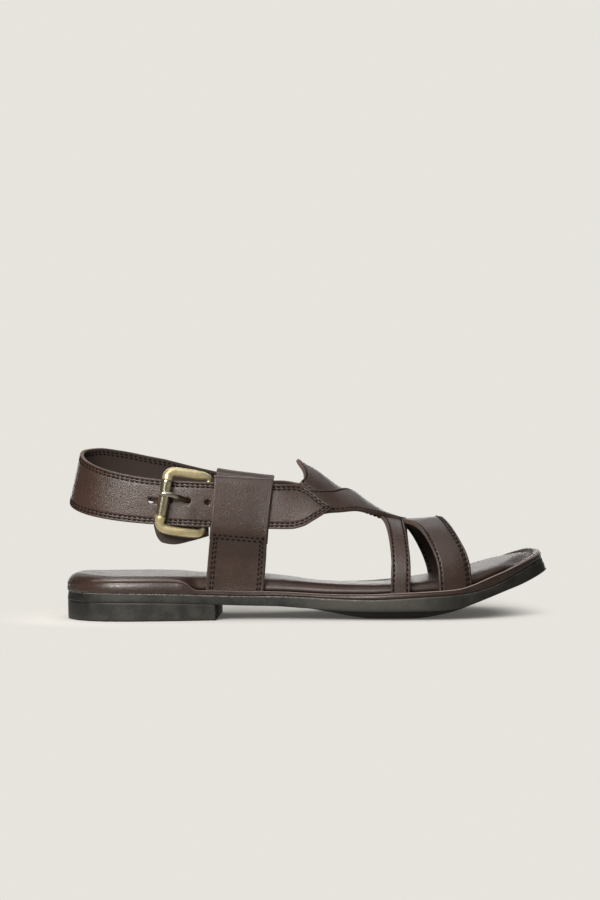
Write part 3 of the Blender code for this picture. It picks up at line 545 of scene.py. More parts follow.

# %% [markdown]
# ## Finishes
# Leather is not one brown. It has a pebbled grain, darker pores, slow changes of tone, and where it
# was cut the pale fibre shows. Pale specks where the grain flecks are painted sparkle, the band along a
# strap's edge is lighter partly from rubbing and partly as painted sheen, and a strap's underside is
# painted darker as shade. Grain and the edge masks are used by several leathers, so each is a
# shader group, built once, that puts out masks and heights. The shader itself stays in each
# material, with its plain numbers on its own sockets.

# %% Groups for grain and for strap edges, with their painted sheen and shade
ACROSS_UV, ALONG_UV = 0.1, 0.01    # a strap's UV map: so much for each millimetre across and along


def grain_group():
    """Pebbled grain: a height, its pores, slow changes of tone, and flecks, which a leather also lays on in
    pale as painted sparkle.
    """
    board, given, result = node_group("leather grain", "ShaderNodeTree", [("Pebble", NUMBER, 1250.0)],
                                      [(name, NUMBER) for name in ("Height", "Pores", "Tone", "Fleck_sparkle")])
    place = board.place()
    bend = board.add("ShaderNodeTexNoise", {"Vector": place, "Scale": 420.0, "Detail": 2.0}).outputs["Color"]
    soft = board.add("ShaderNodeVectorMath", {0: bend, "Scale": 0.0011}, operation="SCALE").outputs[0]
    warped = board.add("ShaderNodeVectorMath", {0: place, 1: soft}, operation="ADD").outputs[0]
    cells = board.add("ShaderNodeTexVoronoi", {"Vector": warped, "Scale": given["Pebble"]},
                      feature="DISTANCE_TO_EDGE").outputs["Distance"]
    pebble = board.ramp(cells, 0.0, 0.3)
    fine, slow = board.noise(place, 2600.0, 3.0), board.noise(place, 34.0, 4.0)
    fleck_sparkle = board.noise(place, 1300.0, 2.0, 0.5)
    height = board.math("MULTIPLY_ADD", fine, 0.3, board.times(pebble, 0.25))
    board.fill(result["Height"], board.math("MULTIPLY_ADD", fleck_sparkle, 0.9, height))
    board.fill(result["Pores"], board.ramp(pebble, 0.0, 0.55, 1.0, 0.0))
    board.fill(result["Tone"], board.ramp(slow, 0.32, 0.68))
    board.fill(result["Fleck_sparkle"], board.ramp(fleck_sparkle, 0.4, 0.66))
    return board.tree


def edge_group():
    """Cut fibre, the band along a strap's edge, lighter from rubbing and as painted sheen, and the
    underside, which a leather paints darker as shade, from the maps that its mesh carries.
    """
    board, given, result = node_group("cut edge", "ShaderNodeTree", [("Rub", NUMBER, 0.7)],
                                      [(name, NUMBER) for name in ("Raw", "Rubbed_and_sheen", "Under")])
    near, (raw, under) = board.carried("strap")[0], board.carried("part")
    wander = board.math("MULTIPLY_ADD", board.noise(board.place(), 900.0, 3.0, 0.5), 0.9, -0.45)
    distance = board.math("MULTIPLY_ADD", near, 1.0 / ACROSS_UV, wander)
    rubbed_and_sheen = board.ramp(board.math("DIVIDE", distance, given["Rub"]), 0.0, 1.0, 1.0, 0.0)
    for name, value in (("Raw", raw), ("Rubbed_and_sheen", rubbed_and_sheen), ("Under", under)):
        board.fill(result[name], value)
    return board.tree


GRAIN, EDGE = grain_group(), edge_group()
GRAIN_DEEP = 0.00035   # the relief of the grain, in metres


def new_material(name):
    material = bpy.data.materials.new(name)
    material.use_nodes = True
    return material, Board(material.node_tree), material.node_tree.nodes["Principled BSDF"]


print("groups ready")

# %% Leathers
BEAD_SOFT = 0.4        # rings over which the bead's painted highlight fades
BEAD_HIGHLIGHT = (0.02, 0.1, 0.2, 0.75)   # two stations in metres, and how strong the bead's painted highlight is at each


def leather(name, dark, light, raw, rough=(0.3, 0.44), bump=0.6, has_edges=True, bead=None, shine=0.9):
    """Brown leather: tone between dark and light, and the raw colour where it was cut or worn by rubbing.
    The raw colour is also laid on as painted sparkle, as painted sheen on the edge band and as a
    painted highlight on the bead, and the underside is painted darker as shade.
    """
    material, board, shader = new_material(name)
    grain = board.add("ShaderNodeGroup", node_tree=GRAIN).outputs
    body = board.mix(grain["Tone"], colour(*dark), colour(*light))
    body = board.laid(body, grain["Pores"], 0.45, dark, 0.55)
    # pale specks where the grain flecks: painted sparkle of the grain's highlights
    body = board.laid(body, grain["Fleck_sparkle"], 0.1, raw)
    roughness = board.ramp(grain["Fleck_sparkle"], 0.0, 1.0, rough[1], rough[0])
    if has_edges:
        edge = board.add("ShaderNodeGroup", node_tree=EDGE).outputs
        # the edge band is lighter partly from rubbing and partly as painted sheen
        body = board.laid(body, edge["Rubbed_and_sheen"], 0.32, raw)
        # painted shade: the underside, turned in toward the foot, is laid darker
        body = board.laid(body, edge["Under"], 0.9, dark, 0.8)
        body = board.laid(body, edge["Raw"], 0.3, raw)
        matt = board.math("MAXIMUM", edge["Raw"], edge["Under"])
        roughness = board.math("MAXIMUM", roughness, board.times(matt, 0.8))
    # painted highlight: pale colour along the rand's bead, strongest toward the toe
    if bead:
        last_ring, low, high = bead
        ring = board.times(board.carried("rise")[0], last_ring)
        on_bead = board.times(board.ramp(ring, low - BEAD_SOFT, low),
                              board.ramp(ring, high, high + BEAD_SOFT, 1.0, 0.0))
        toe_highlight = board.ramp(board.split(board.place())[0], *BEAD_HIGHLIGHT)
        body = board.mix(board.times(on_bead, toe_highlight), body, colour(*raw))
    board.set(shader, {"Base Color": body, "Roughness": roughness, "Specular IOR Level": shine,
                       "Normal": board.bump(grain["Height"], GRAIN_DEEP, bump)})
    return material


LEATHER = leather("strap leather", (54, 32, 21), (66, 41, 28), (122, 100, 86))
STRAP_LEATHER = leather("heel strap leather", (55, 33, 22), (68, 43, 30), (134, 112, 98))
SOFT_LEATHER = leather("guard leather", (54, 38, 31), (68, 50, 41), (96, 78, 66), bump=0.2)
# the rand's bead, rings 7.6 to 9.0 of 16, carries the painted highlight
RAND_LEATHER = leather("rand leather", (44, 27, 19), (58, 37, 27), (176, 156, 146), rough=(0.24, 0.4),
                       bump=0.3, has_edges=False, bead=(16, 7.6, 9.0), shine=0.8)
FOOTBED_LEATHER = leather("footbed leather", (50, 31, 22), (63, 41, 30), (110, 92, 80),
                          rough=(0.34, 0.46), bump=0.35, has_edges=False, shine=0.7)
print("leathers ready")

# %% Rubber
# Each line gives two stations in metres, and a share at the first and at the second
# painted glints on the trimmed top edge, full toward the heel and weaker toward the toe
GLINTS_ALONG = (0.0, 0.06, 1.0, 0.25)
# painted shade at the heel's back end, which turns away from the lamps
HEEL_PAINTED_SHADE = (-0.142, -0.118, 0.75, 0.0)
# painted sheen along the rubber's side at the ball
BALL_SHEEN_COMES, BALL_SHEEN_GOES = (-0.02, 0.03, 0.0, 0.6), (0.055, 0.1, 1.0, 0.0)


def rubber(name, last_ring, under, trimmed, uneven=3.0):
    """Dark rubber, made matt and painted near black as shade below ring number under, with pale specks
    above ring number trimmed as painted glints; also painted shade at the heel's back and painted
    sheen at the ball.
    """
    material, board, shader = new_material(name)
    place = board.place()
    along = board.split(place)[0]
    ring = board.times(board.carried("rise")[0], last_ring)
    speck, cloud = board.noise(place, 1200.0, 4.0, 0.7), board.noise(place, 90.0, 4.0)
    # painted glints: pale specks on the trimmed top edge
    edge_glints = board.times(board.ramp(ring, trimmed, trimmed + 1.0), board.ramp(speck, 0.46, 0.6))
    edge_glints = board.times(edge_glints, board.ramp(along, *GLINTS_ALONG))
    below = board.ramp(ring, under - 0.6, under, 1.0, 0.0)
    ball = board.times(board.ramp(along, *BALL_SHEEN_COMES), board.ramp(along, *BALL_SHEEN_GOES))
    tint = board.mix(board.ramp(cloud, 0.35, 0.7), colour(30, 29, 25), colour(52, 50, 44))
    # painted shade at the heel's back
    tint = board.mix(board.ramp(along, *HEEL_PAINTED_SHADE), tint, colour(10, 10, 8))
    # painted sheen at the ball
    tint = board.mix(ball, tint, colour(88, 86, 79))
    tint = board.laid(tint, board.ramp(speck, 0.56, 0.75), 0.6, (88, 86, 80))
    tint = board.laid(tint, edge_glints, 0.7, (168, 164, 156))
    # painted shade: near black below ring number under
    tint = board.mix(below, tint, colour(6, 6, 5))
    gloss = board.ramp(cloud, 0.35, 0.65, 0.44, 0.6)
    height = board.math("MULTIPLY_ADD", cloud, uneven, speck)
    board.set(shader, {"Base Color": tint, "Normal": board.bump(height, 0.0004, 0.4),
                       "Roughness": board.math("MAXIMUM", gloss, board.times(below, 0.9)),
                       "Specular IOR Level": 0.6})
    return material


# below ring 4.4 the outsole's underside is painted near black as shade
RUBBER = rubber("trimmed rubber", 13, 4.4, 9.6)
# the heel block's lowest rings are painted near black, a painted contact shadow line
HEEL_RUBBER = rubber("heel rubber", 8, 2.2, 9.0, 1.2)
print("rubbers ready")

# %% Brass and thread
PRONG_BRIGHT = (-0.0795, -0.0765)    # between these stations, in metres, the prong goes from bright to dark


def brass(name, bright, dull, rough, metal=1.0):
    """Brass with slow changes between bright metal and dull tarnish."""
    material, board, shader = new_material(name)
    tarnish = board.noise(board.place(), 240.0, 4.0)
    tone = board.mix(board.ramp(tarnish, 0.35, 0.7), colour(*bright), colour(*dull))
    board.set(shader, {"Metallic": metal, "Base Color": tone,
                       "Roughness": board.ramp(tarnish, 0.3, 0.7, *rough)})
    return material


BRASS = brass("aged brass", (255, 242, 198), (234, 214, 158), (0.28, 0.38), metal=0.8)
ROLLER_BRASS = brass("turned brass", (244, 234, 204), (226, 212, 170), (0.17, 0.18))

# the prong's colour is pale where it curls over the roller and dark along its shaft
DARK_BRASS, board, shader = new_material("prong brass, darker on the shaft")
dark = board.ramp(board.split(board.place())[0], *PRONG_BRIGHT)
board.set(shader, {"Metallic": 1.0, "Base Color": board.mix(dark, colour(208, 204, 190), colour(96, 82, 70)),
                   "Roughness": board.math("MULTIPLY_ADD", dark, 0.15, 0.25)})

THREAD, board, shader = new_material("waxed thread")
board.set(shader, {"Base Color": colour(20, 13, 11), "Roughness": 0.75, "Specular IOR Level": 0.25})
print("brass and thread ready")

# %% [markdown]
# ## The sole, layer by layer
# A sandal's bottom is a stack: rubber outsole with a heel block, a leather-covered midsole or
# *rand*, and the padded footbed. Each is one outline swept upward through *rings*, each ring a
# little further in or out. Rings are the quickest exact way to make rounded edges, grooves and
# beads, since a row of the table is one line round the shoe.

# %% Rings and layers
OUTLINE_STEPS = 14     # points between two stations of the outline


def outline(inset):
    """The sole's outline, heel, outer side, toe, inner side, moved inward by inset(x)."""
    outer = list(zip(PLAN["x"], PLAN["lateral"]))
    inner = list(zip(PLAN["x"], PLAN["medial"]))[-2:0:-1]
    dense = round_through(outer + inner, OUTLINE_STEPS)
    tangent = np.roll(dense, -1, axis=0) - np.roll(dense, 1, axis=0)
    tangent /= np.linalg.norm(tangent, axis=1)[:, None]
    normal = np.column_stack([-tangent[:, 1], tangent[:, 0]])
    return dense + normal * inset(dense[:, 0])[:, None]


def rim_height(x, y):
    """Height of the rand's top edge, with a soft slope between the two sides."""
    share = np.clip((y + 12) / 24, 0, 1)
    return rim(x, -1) * (1 - share) + rim(x, 1) * share


def at(column, more=0.0):
    """Inset taken from a column of the sole's table."""
    return lambda x: SOLE_AT[column](x) + more


def level_of(column, more=0.0):
    """Height taken from a column of the sole's table."""
    return lambda x, y: SOLE_AT[column](x) + more


def layer(name, rings, across=24, rough=None):
    """A layer of the sole from rings, bottom to top: (inset, height function of x and y)."""
    loops = []
    for inset, height in rings:
        ring = outline(inset if callable(inset) else lambda x, d=inset: np.full_like(x, d))
        loops.append(np.column_stack([ring, height(ring[:, 0], ring[:, 1])]))
    loops = np.array(loops)
    if rough is not None:
        loops = rough(loops)
    count, n = loops.shape[:2]
    points = list(loops.reshape(-1, 3))
    shares = np.linspace(0, 1, count)
    faces, rise = [], []
    for k in range(count - 1):
        a, b = k * n, (k + 1) * n
        for i in range(n):
            j = (i + 1) % n
            faces.append((a + i, a + j, b + j, b + i))
            rise.append((shares[k], shares[k], shares[k + 1], shares[k + 1]))
    for base, down in ((0, True), ((count - 1) * n, False)):
        loop = loops[0 if down else -1]
        half = n // 2
        grid = np.full((half + 1, across + 1), -1)
        for i in range(half + 1):
            left, other = i, (n - i) % n
            grid[i, 0], grid[i, -1] = base + left, base + other
            if left == other:
                grid[i, :] = base + left
                continue
            for j in range(1, across):
                grid[i, j] = len(points)
                points.append(loop[left] + (loop[other] - loop[left]) * j / across)
        for i in range(half):
            for j in range(across):
                face = list(dict.fromkeys([grid[i, j], grid[i + 1, j], grid[i + 1, j + 1], grid[i, j + 1]]))
                if len(face) > 2:
                    faces.append(face[::-1] if down else face)
                    rise.append((0.0 if down else 1.0,) * len(face))
    return mesh_of(name, points, faces, {"rise": [(s, 0.0) for row in rise for s in row]})


print("outline has", len(outline(at("rand_in"))), "points")

# %% [markdown]
# ### Outsole and heel
# The black rubber is trimmed by hand against a grinding wheel, which leaves a slightly ragged top
# edge. So the upper rings are pushed in and out a little by a fixed noise. The heel block is a
# second layer of the same outline, and its front face, the *breast*, is cut off straight.

# %% Outsole and heel block
TRIM, TRIM_GRAIN = 0.16, 1.7   # how far the wheel wandered at the rubber's top edge, and how often
BREAST = (BREAST_LATERAL - 3.2, BREAST_MEDIAL + 2.3)   # the cut's station at y = -60 and at y = 60


def trimmed(first):
    """Pushes the rings from number first upward in and out, as a hand-held trim leaves them."""
    def rough(loops):
        for k in range(first, len(loops)):
            for p in loops[k]:
                push = (noise.noise(Vector(p / TRIM_GRAIN)) * TRIM
                        + noise.noise(Vector(p / (4 * TRIM_GRAIN))) * TRIM)
                out = np.array([p[0], p[1], 0.0])
                p += out / (np.linalg.norm(out) + 1e-9) * push
        return loops
    return rough


def cambered(share):
    """Between the underside in the middle (0) and at its edge (1)."""
    return lambda x, y: SOLE_AT["floor"](x) * (1 - share) + SOLE_AT["edge"](x) * share


def flat(height):
    return lambda x, y: 0 * x + height


def between(low, high, share):
    return lambda x, y: low(x, y) * (1 - share) + high(x, y) * share


outsole_mesh = layer("outsole_rubber", [
    (20.0, cambered(0.0)), (14.0, cambered(0.06)), (8.0, cambered(0.2)), (4.0, cambered(0.52)),
    (1.6, cambered(0.86)), (0.6, cambered(0.97)), (0.25, level_of("edge", 0.12)),
    (lambda x: 0.3 * SOLE_AT["rubber_in"](x), level_of("edge", 0.9)),
    (lambda x: 0.6 * SOLE_AT["rubber_in"](x), between(level_of("edge"), level_of("deck"), 0.5)),
    (at("rubber_in"), level_of("deck", -1.4)), (at("rubber_in"), level_of("deck", -0.6)),
    (at("rubber_in", 0.08), level_of("deck", -0.25)), (at("rubber_in", 0.3), level_of("deck", -0.05)),
    (at("rubber_in", 0.8), level_of("deck")),
], rough=trimmed(8))
outsole = finished(outsole_mesh, RUBBER, "sole_rubber", "outsole")

heel_mesh = layer("heel_rubber", [
    (1.2, flat(0.0)), (0.7, flat(0.12)), (0.4, flat(0.6)), (0.35, flat(2.5)),
    (0.35, between(flat(0.0), level_of("floor"), 0.5)), (0.32, level_of("floor", -1.2)),
    (0.3, level_of("floor", -0.35)), (0.5, level_of("floor", -0.12)), (1.6, level_of("floor", -0.06)),
])
ahead_of_breast = [(BREAST[0], -60), (BREAST[1], 60), (200, 60), (200, -60)]
breast_cutter = mesh_of("breast", [(x, y, z) for z in (-5, 60) for x, y in ahead_of_breast],
                        [(0, 1, 2, 3), (7, 6, 5, 4), (4, 5, 1, 0), (5, 6, 2, 1), (6, 7, 3, 2), (7, 4, 0, 3)],
                        {"rise": [(0.0, 0.0)] * 24})
heel_block = finished(cut(heel_mesh, breast_cutter), HEEL_RUBBER, "heel_rubber", "heel_block")
print(len(outsole.data.polygons), "and", len(heel_block.data.polygons), "faces")

# %% [markdown]
# ### Rand and footbed
# The rand is leather wrapped round the midsole's edge. Its top edge stands up as a thin bead, on
# which a pale painted highlight is laid, strongest toward the toe. The footbed is a padded insole
# inside that bead. Its lip curls over, and the pad rises to a soft crown, so its rings climb quickly
# at first and then flatten.

# %% Rand and footbed
HEEL_ROUND = (-122.0, -139.0)      # stations between which rand and pad merge into one round shoulder
HEEL_SIDE = (-66.0, -84.0)         # and behind which the rand's bead stands taller
TOE_RIM = (112.0, 128.0)           # and where the toe's flat border and raised rim come in
CREASE_END = (50.0, 85.0)          # and over which the pad's crease fades out
SHOULDER = (7.5, 7.3, -3.4)        # the shoulder's reach, height and start below the rim
RAND_TOP = [  # share of the way in, more inset at the heel and at its sides, then the height on the
              # rim along the sides, round the toe and at the heel's sides
    (0.05, 0.5, 0.55, -1.35, -1.35, -1.35), (0.08, 0.8, 0.95, -0.9, -0.9, -0.8),
    (0.01, 1.0, 0.5, -0.62, -0.62, -0.4), (0.03, 1.3, 0.4, -0.3, -0.3, 0.4),
    (0.1, 1.6, 0.45, 0.0, 0.3, 1.1), (0.22, 1.8, 0.45, 0.06, 0.5, 1.5), (0.4, 1.6, 0.3, -0.1, 0.65, 1.5),
    (0.6, 1.4, 0.2, -0.3, 0.65, 1.3), (0.8, 1.2, 0.0, -0.3, 0.4, 1.0), (0.93, 1.1, 0.0, -0.3, -1.0, 0.9),
]
PAD_EDGE = [  # inset, inset at the heel, share of the climb, drop below the lip, shoulder, crease
    (1.0, 1.8, 0.0, 2.2, 0.0, 0.0), (0.3, 0.7, 0.0, 1.9, 0.0, 0.0), (0.05, 0.4, 0.0, 1.4, 0.0, 0.0),
    (0.0, 0.06, 0.0, 0.75, 0.06, 0.0), (0.08, 0.35, 0.0, 0.35, 0.35, 0.0), (0.3, 0.8, 0.1, 0.05, 0.8, 0.0),
    (0.75, 1.6, 0.25, 0.0, 1.6, 0.0), (1.6, 2.6, 0.5, 0.0, 2.6, 0.0), (2.5, 3.8, 0.72, 0.0, 3.8, 0.0),
    (2.9, 4.5, 0.77, 0.0, 4.5, 0.3), (3.3, 5.2, 0.82, 0.0, 5.2, 0.0), (5.0, 6.6, 0.91, 0.0, 6.6, 0.0),
]
# Round the toe the pad lies flat outside its edge: the climb there for each share of the climb elsewhere
FLAT_BORDER = {0.1: 0.0, 0.25: 0.02, 0.5: 0.03, 0.72: 0.04, 0.77: 0.04, 0.82: 0.06, 0.91: 0.6, 0.97: 0.86}
# How the pad's crown has been trodden: its rise at the outer side, and at the inner side
TRODDEN_X = (-139.0, -118.0, -60.0, -26.0, -12.0, 8.0, 24.0, 47.0, 64.0, 82.0, 100.0, 114.0)
TRODDEN_OUT = curve(TRODDEN_X, (1.6, 0.2, 0.0, 0.3, 0.8, 1.0, 1.1, 1.0, 0.8, 0.6, 0.2, 0.0))
TRODDEN_IN = curve(TRODDEN_X, (1.6, 0.5, 0.2, 1.2, 0.1, -1.6, -1.9, -2.4, -1.4, -1.0, -0.5, 0.0))


def eased(x, span):
    """0 before the span, 1 after it, and a soft step between."""
    share = np.clip((x - span[0]) / (span[1] - span[0]), 0, 1)
    return share * share * (3 - 2 * share)


def rand_ring(share, heel, groove):
    """Inset on the rand's top: a share of the way from its face to the footbed, more at the heel."""
    return lambda x: (SOLE_AT["rand_in"](x) + share * (SOLE_AT["footbed_in"](x) - SOLE_AT["rand_in"](x))
                      + heel * eased(x, HEEL_ROUND) + groove * eased(x, HEEL_SIDE))


def rand_level(side, toe, heel):
    """Height on the rim: side along the shoe's sides, toe round the toe, heel at the heel's sides."""
    return lambda x, y: (rim_height(x, y) + side + (toe - side) * eased(x, TOE_RIM)
                         + (heel - side) * eased(x, HEEL_SIDE) * (1 - eased(x, HEEL_ROUND)))


def pad_ring(inset, shoulder):
    """Inset from the rand's inner line, clear of it at the toe, and from the rand's face at the heel."""
    def along_side(x):
        return SOLE_AT["footbed_in"](x) + inset + 0.8 * eased(x, TOE_RIM)
    return lambda x: (along_side(x) * (1 - eased(x, HEEL_ROUND))
                      + (SOLE_AT["rand_in"](x) + shoulder) * eased(x, HEEL_ROUND))


def pad(share, drop=0.0, shoulder=None, crease=0.0):
    """Height on the footbed: its lip, plus a share of the way up to the crown, less the crease."""
    def height(x, y):
        toe, heel = eased(x, TOE_RIM), eased(x, HEEL_ROUND)
        across = np.clip((y + 30) / 60, 0, 1)
        x_in = np.clip(x, TRODDEN_X[0], TRODDEN_X[-1])
        crown = (SOLE_AT["crown"](x) + 0.7 * toe
                 + TRODDEN_OUT(x_in) * (1 - across) + TRODDEN_IN(x_in) * across)
        lip = rim_height(x, y) + SOLE_AT["lip"](x) * (1 - toe) - 0.75 * toe - drop
        risen = share * (1 - toe) + FLAT_BORDER.get(share, share) * toe
        level = lip + risen * (crown - lip)
        if shoulder is not None:
            reach, tall, start = SHOULDER
            rounded = math.sqrt(1 - (1 - min(shoulder / reach, 1)) ** 2)
            level = level * (1 - heel) + (rim_height(x, y) + start + tall * rounded) * heel
        return level - crease * (1 - eased(x, CREASE_END))
    return height


rand_mesh = layer("rand_leather", [
    (at("rand_in", 1.2), level_of("deck", 0.02)), (at("rand_in", 0.35), level_of("deck", 0.06)),
    (at("rand_in", 0.12), level_of("deck", 0.5)),
    (at("rand_in"), between(level_of("deck"), rim_height, 0.32)),
    (rand_ring(0.02, 0.1, 0.12), between(level_of("deck"), rim_height, 0.55)),
    *[(rand_ring(*row[:3]), rand_level(*row[3:])) for row in RAND_TOP],
    (at("footbed_in", 0.5), rand_level(-0.2, -1.8, -0.2)),
    (at("footbed_in", 2.4), rand_level(-0.1, -2.0, -0.1)),
])
finished(rand_mesh, RAND_LEATHER, "rand_leather", "midsole")

footbed_mesh = layer("footbed_pad", [
    *[(pad_ring(*row[:2]), pad(*row[2:])) for row in PAD_EDGE],
    (at("footbed_in", 8.0), pad(0.97)), (at("footbed_in", 11.0), pad(1.0)),
    (at("footbed_in", 14.0), pad(1.0)),
], across=32)
footbed = finished(footbed_mesh, FOOTBED_LEATHER, "footbed_leather", "footbed")
print("footbed crown at the ball", float(SOLE_AT["crown"](60.0)), "mm")

# %% [markdown]
# ## Straps of leather
# A strap is a flat strip with a real wall. It is best thought of as rows of points across it: for
# each row the script measures the distance to the nearer edge, so the same few rules can round the
# top edge, leave the raw cut side straight, and sink a shallow trough where thread pulls it down.
# The strap's underside is the same grid, one wall thickness lower.

# %% A strap from a grid of points
EDGE_STEPS = (0.0, 0.1, 0.3, 0.6, 0.9, 1.15, 1.4, 1.7, 2.0, 2.25, 2.5, 2.75, 3.0, 3.3, 3.6, 3.9, 4.4, 5.0)
TOP_ROUND, UNDER_ROUND = 0.6, 0.3
THREAD_DIP = 0.42      # how deep a row of thread pulls the leather down
DIP_WIDE = 0.5         # half the width of that dip
EDGE_RIDGE, RIDGE_IN = 0.1, 0.9    # the ridge that it leaves toward the edge, and how far in
WANDER, WANDER_SIZE = 0.1, 9.0     # how much a hand-cut strap strays from flat, and over what length


class Strap:
    """A strap's rows: middle surface, outward normal, distance across, and place along."""

    def __init__(self, grid, step_across=1.3, inside=INSIDE):
        grid = np.asarray(grid, float)
        gaps = np.linalg.norm(np.diff(grid, axis=1), axis=2)
        run = np.concatenate([np.zeros((len(grid), 1)), np.cumsum(gaps, axis=1)], axis=1)
        self.width = run[:, -1]
        count = max(4, int((self.width.max() - 2 * EDGE_STEPS[-1]) / step_across))
        rows, across = [], []
        for points, far, wide in zip(grid, run, self.width):
            squeeze = min(1.0, 0.47 * wide / EDGE_STEPS[-1])
            edge = np.array(EDGE_STEPS) * squeeze
            middle = np.linspace(edge[-1], wide - edge[-1], count + 2)[1:-1]
            places = np.concatenate([edge, middle, (wide - edge)[::-1]])
            rows.append(np.column_stack([np.interp(places, far, points[:, c]) for c in range(3)]))
            across.append(places)
        self.rows, self.across = np.array(rows), np.array(across)
        centre = self.rows[:, self.rows.shape[1] // 2]
        self.along = np.r_[0, np.cumsum(np.linalg.norm(np.diff(centre, axis=0), axis=1))]
        normal = np.cross(np.gradient(self.rows, axis=0), np.gradient(self.rows, axis=1))
        normal /= np.linalg.norm(normal, axis=2, keepdims=True) + 1e-12
        i, j = len(rows) // 2, self.rows.shape[1] // 2
        if np.dot(normal[i, j], self.rows[i, j] - inside) < 0:
            normal = -normal
        self.normal = normal
        self.edge = np.minimum(self.across, self.width[:, None] - self.across)

    def place(self, row, distance, far_side=False, lift=0.0):
        """Point and normal at a distance from one edge of a row."""
        reach = self.width[row] - distance if far_side else distance
        point = [np.interp(reach, self.across[row], self.rows[row, :, c]) for c in range(3)]
        normal = np.array([np.interp(reach, self.across[row], self.normal[row, :, c]) for c in range(3)])
        normal /= np.linalg.norm(normal)
        return np.array(point) + normal * lift, normal


def strap_mesh(name, strap, low, high, stitched=(), dents=None):
    """The closed strip between two lifts, with rounded edges and a dip at each stitched distance."""
    d = strap.edge
    rounded = np.clip(TOP_ROUND - d, 0, TOP_ROUND)
    top = high - TOP_ROUND + np.sqrt(TOP_ROUND**2 - rounded**2)
    for far in stitched:
        top = top - THREAD_DIP * np.exp(-((d - far) / DIP_WIDE) ** 2)
    if len(stitched):
        top = top + EDGE_RIDGE * np.exp(-((d - RIDGE_IN) / DIP_WIDE) ** 2)
    if dents is not None:
        top = top + dents(strap)
    stray = np.array([[noise.noise(Vector(p / WANDER_SIZE)) for p in row[::4]] for row in strap.rows])
    spread = np.linspace(0, stray.shape[1] - 1, d.shape[1])
    top = top + WANDER * np.array([np.interp(spread, np.arange(len(row)), row) for row in stray])
    rounded = np.clip(UNDER_ROUND - d, 0, UNDER_ROUND)
    under = low + UNDER_ROUND - np.sqrt(UNDER_ROUND**2 - rounded**2)
    upper_side = strap.rows + strap.normal * top[..., None]
    lower_side = strap.rows + strap.normal * under[..., None]
    n, m = d.shape
    ring = 2 * m
    section = np.concatenate([upper_side, lower_side[:, ::-1]], axis=1)
    across, along = np.concatenate([d, d[:, ::-1]], axis=1) * ACROSS_UV, strap.along * ALONG_UV
    faces, near, flags = [], [], []
    for i in range(n - 1):
        for j in range(ring):
            k = (j + 1) % ring
            corners = ((i, j), (i, k), (i + 1, k), (i + 1, j))
            faces.append([row * ring + column for row, column in corners])
            near += [(across[row, column], along[row]) for row, column in corners]
            flags += [(1.0, 0.0) if j in (m - 1, ring - 1) else (0.0, float(j >= m))] * 4
    for i in (0, n - 1):
        for j in range(m - 1):
            faces.append([i * ring + column for column in (j, j + 1, ring - 2 - j, ring - 1 - j)])
            near += [(0.0, along[i])] * 4
            flags += [(1.0, 0.0)] * 4
    return mesh_of(name, section.reshape(-1, 3), faces, {"strap": near, "part": flags})


def ribbed(ribs, step=1.2, across=60):
    """Grid of a strap that follows the last between the two ends of each rib."""
    rows = through(ribs, 10)
    x1, g1, x2, g2, lift = rows.T
    moved = np.zeros(len(rows) - 1)
    for x, g in ((x1, g1), (x2, g2), ((x1 + x2) / 2, (g1 + g2) / 2)):
        moved = np.maximum(moved, np.linalg.norm(np.diff(on_last(x, g, lift), axis=0), axis=1))
    run = np.r_[0, np.cumsum(moved)]
    places = np.linspace(0, run[-1], int(run[-1] / step))
    x1, g1, x2, g2, lift = (np.interp(places, run, column)[:, None] for column in rows.T)
    t = np.linspace(0, 1, across)
    return on_last(x1 + (x2 - x1) * t, g1 + (g2 - g1) * t, lift)


STITCH_ROW = 1.7       # first row of thread, in from a strap's edge
SECOND_ROW = 3.3       # second row where there are two
straps = {"instep": Strap(ribbed(INSTEP)), "overlay": Strap(ribbed(OVERLAY_STRAP)),
          "toe_band": Strap(ribbed(TOE_BAND))}
for name, strap in straps.items():
    print(name, "is", round(strap.along[-1]), "mm long and", round(strap.width.min(), 1), "to",
          round(strap.width.max(), 1), "mm wide")

# %% The three straps of the upper
for name, strap in straps.items():
    made = strap_mesh(name + "_leather", strap, 0.0, STRAP_WALL, (STITCH_ROW,))
    finished(made, LEATHER, "upper_leather", *(["upper"] if name == "instep" else []))
    print(name, len(made.polygons), "faces")

# %% [markdown]
# ### Side loops
# Each loop is one thin strip: it leaves the sole, rises outside the straps, folds over at the top
# and comes down again behind them. Its path is written as lift and height, and every column from
# its rear edge to its front edge follows that path between its own sole and fold.

# %% Side loops
def loop_grid(side, rear, front, columns=24, per_span=10):
    """Grid of a loop: rows along its strip, columns from its rear edge to its front edge."""
    grid = []
    for t in np.linspace(0, 1, columns):
        at_sole, at_fold, top = (a + (b - a) * t for a, b in zip(rear, front))
        foot = float(rim(at_sole, side)) - SEAT_DEPTH
        path = [(lift, (top if start == "fold" else foot) + height) for lift, height, start in LOOP_PATH]
        lift, z = through(path, per_span).T
        share = np.clip((z - foot) / (top - foot), 0, 1)
        grid.append(beside_last(at_sole + (at_fold - at_sole) * share, z, side, lift))
    return np.swapaxes(grid, 0, 1)


loops = {}
for name, edges in LOOP_EDGES.items():
    loops[name] = Strap(loop_grid(**edges), inside=INSIDE_LOOPS)
    made = strap_mesh(name + "_leather", loops[name], -LOOP_WALL / 2, LOOP_WALL / 2)
    finished(made, LEATHER, "loop_leather", name)
    print(name, round(loops[name].along[-1]), "mm of strip,", len(made.polygons), "faces")

# %% [markdown]
# ### Heel strap
# One band starts inside the inner loop, passes round the heel, under the buckle's roller and
# through the outer loop, and ends in a pointed tab. Its two edges are tables of height, by station
# along the sides and by angle round the back. The holes are real: a punch is a Boolean cutter.

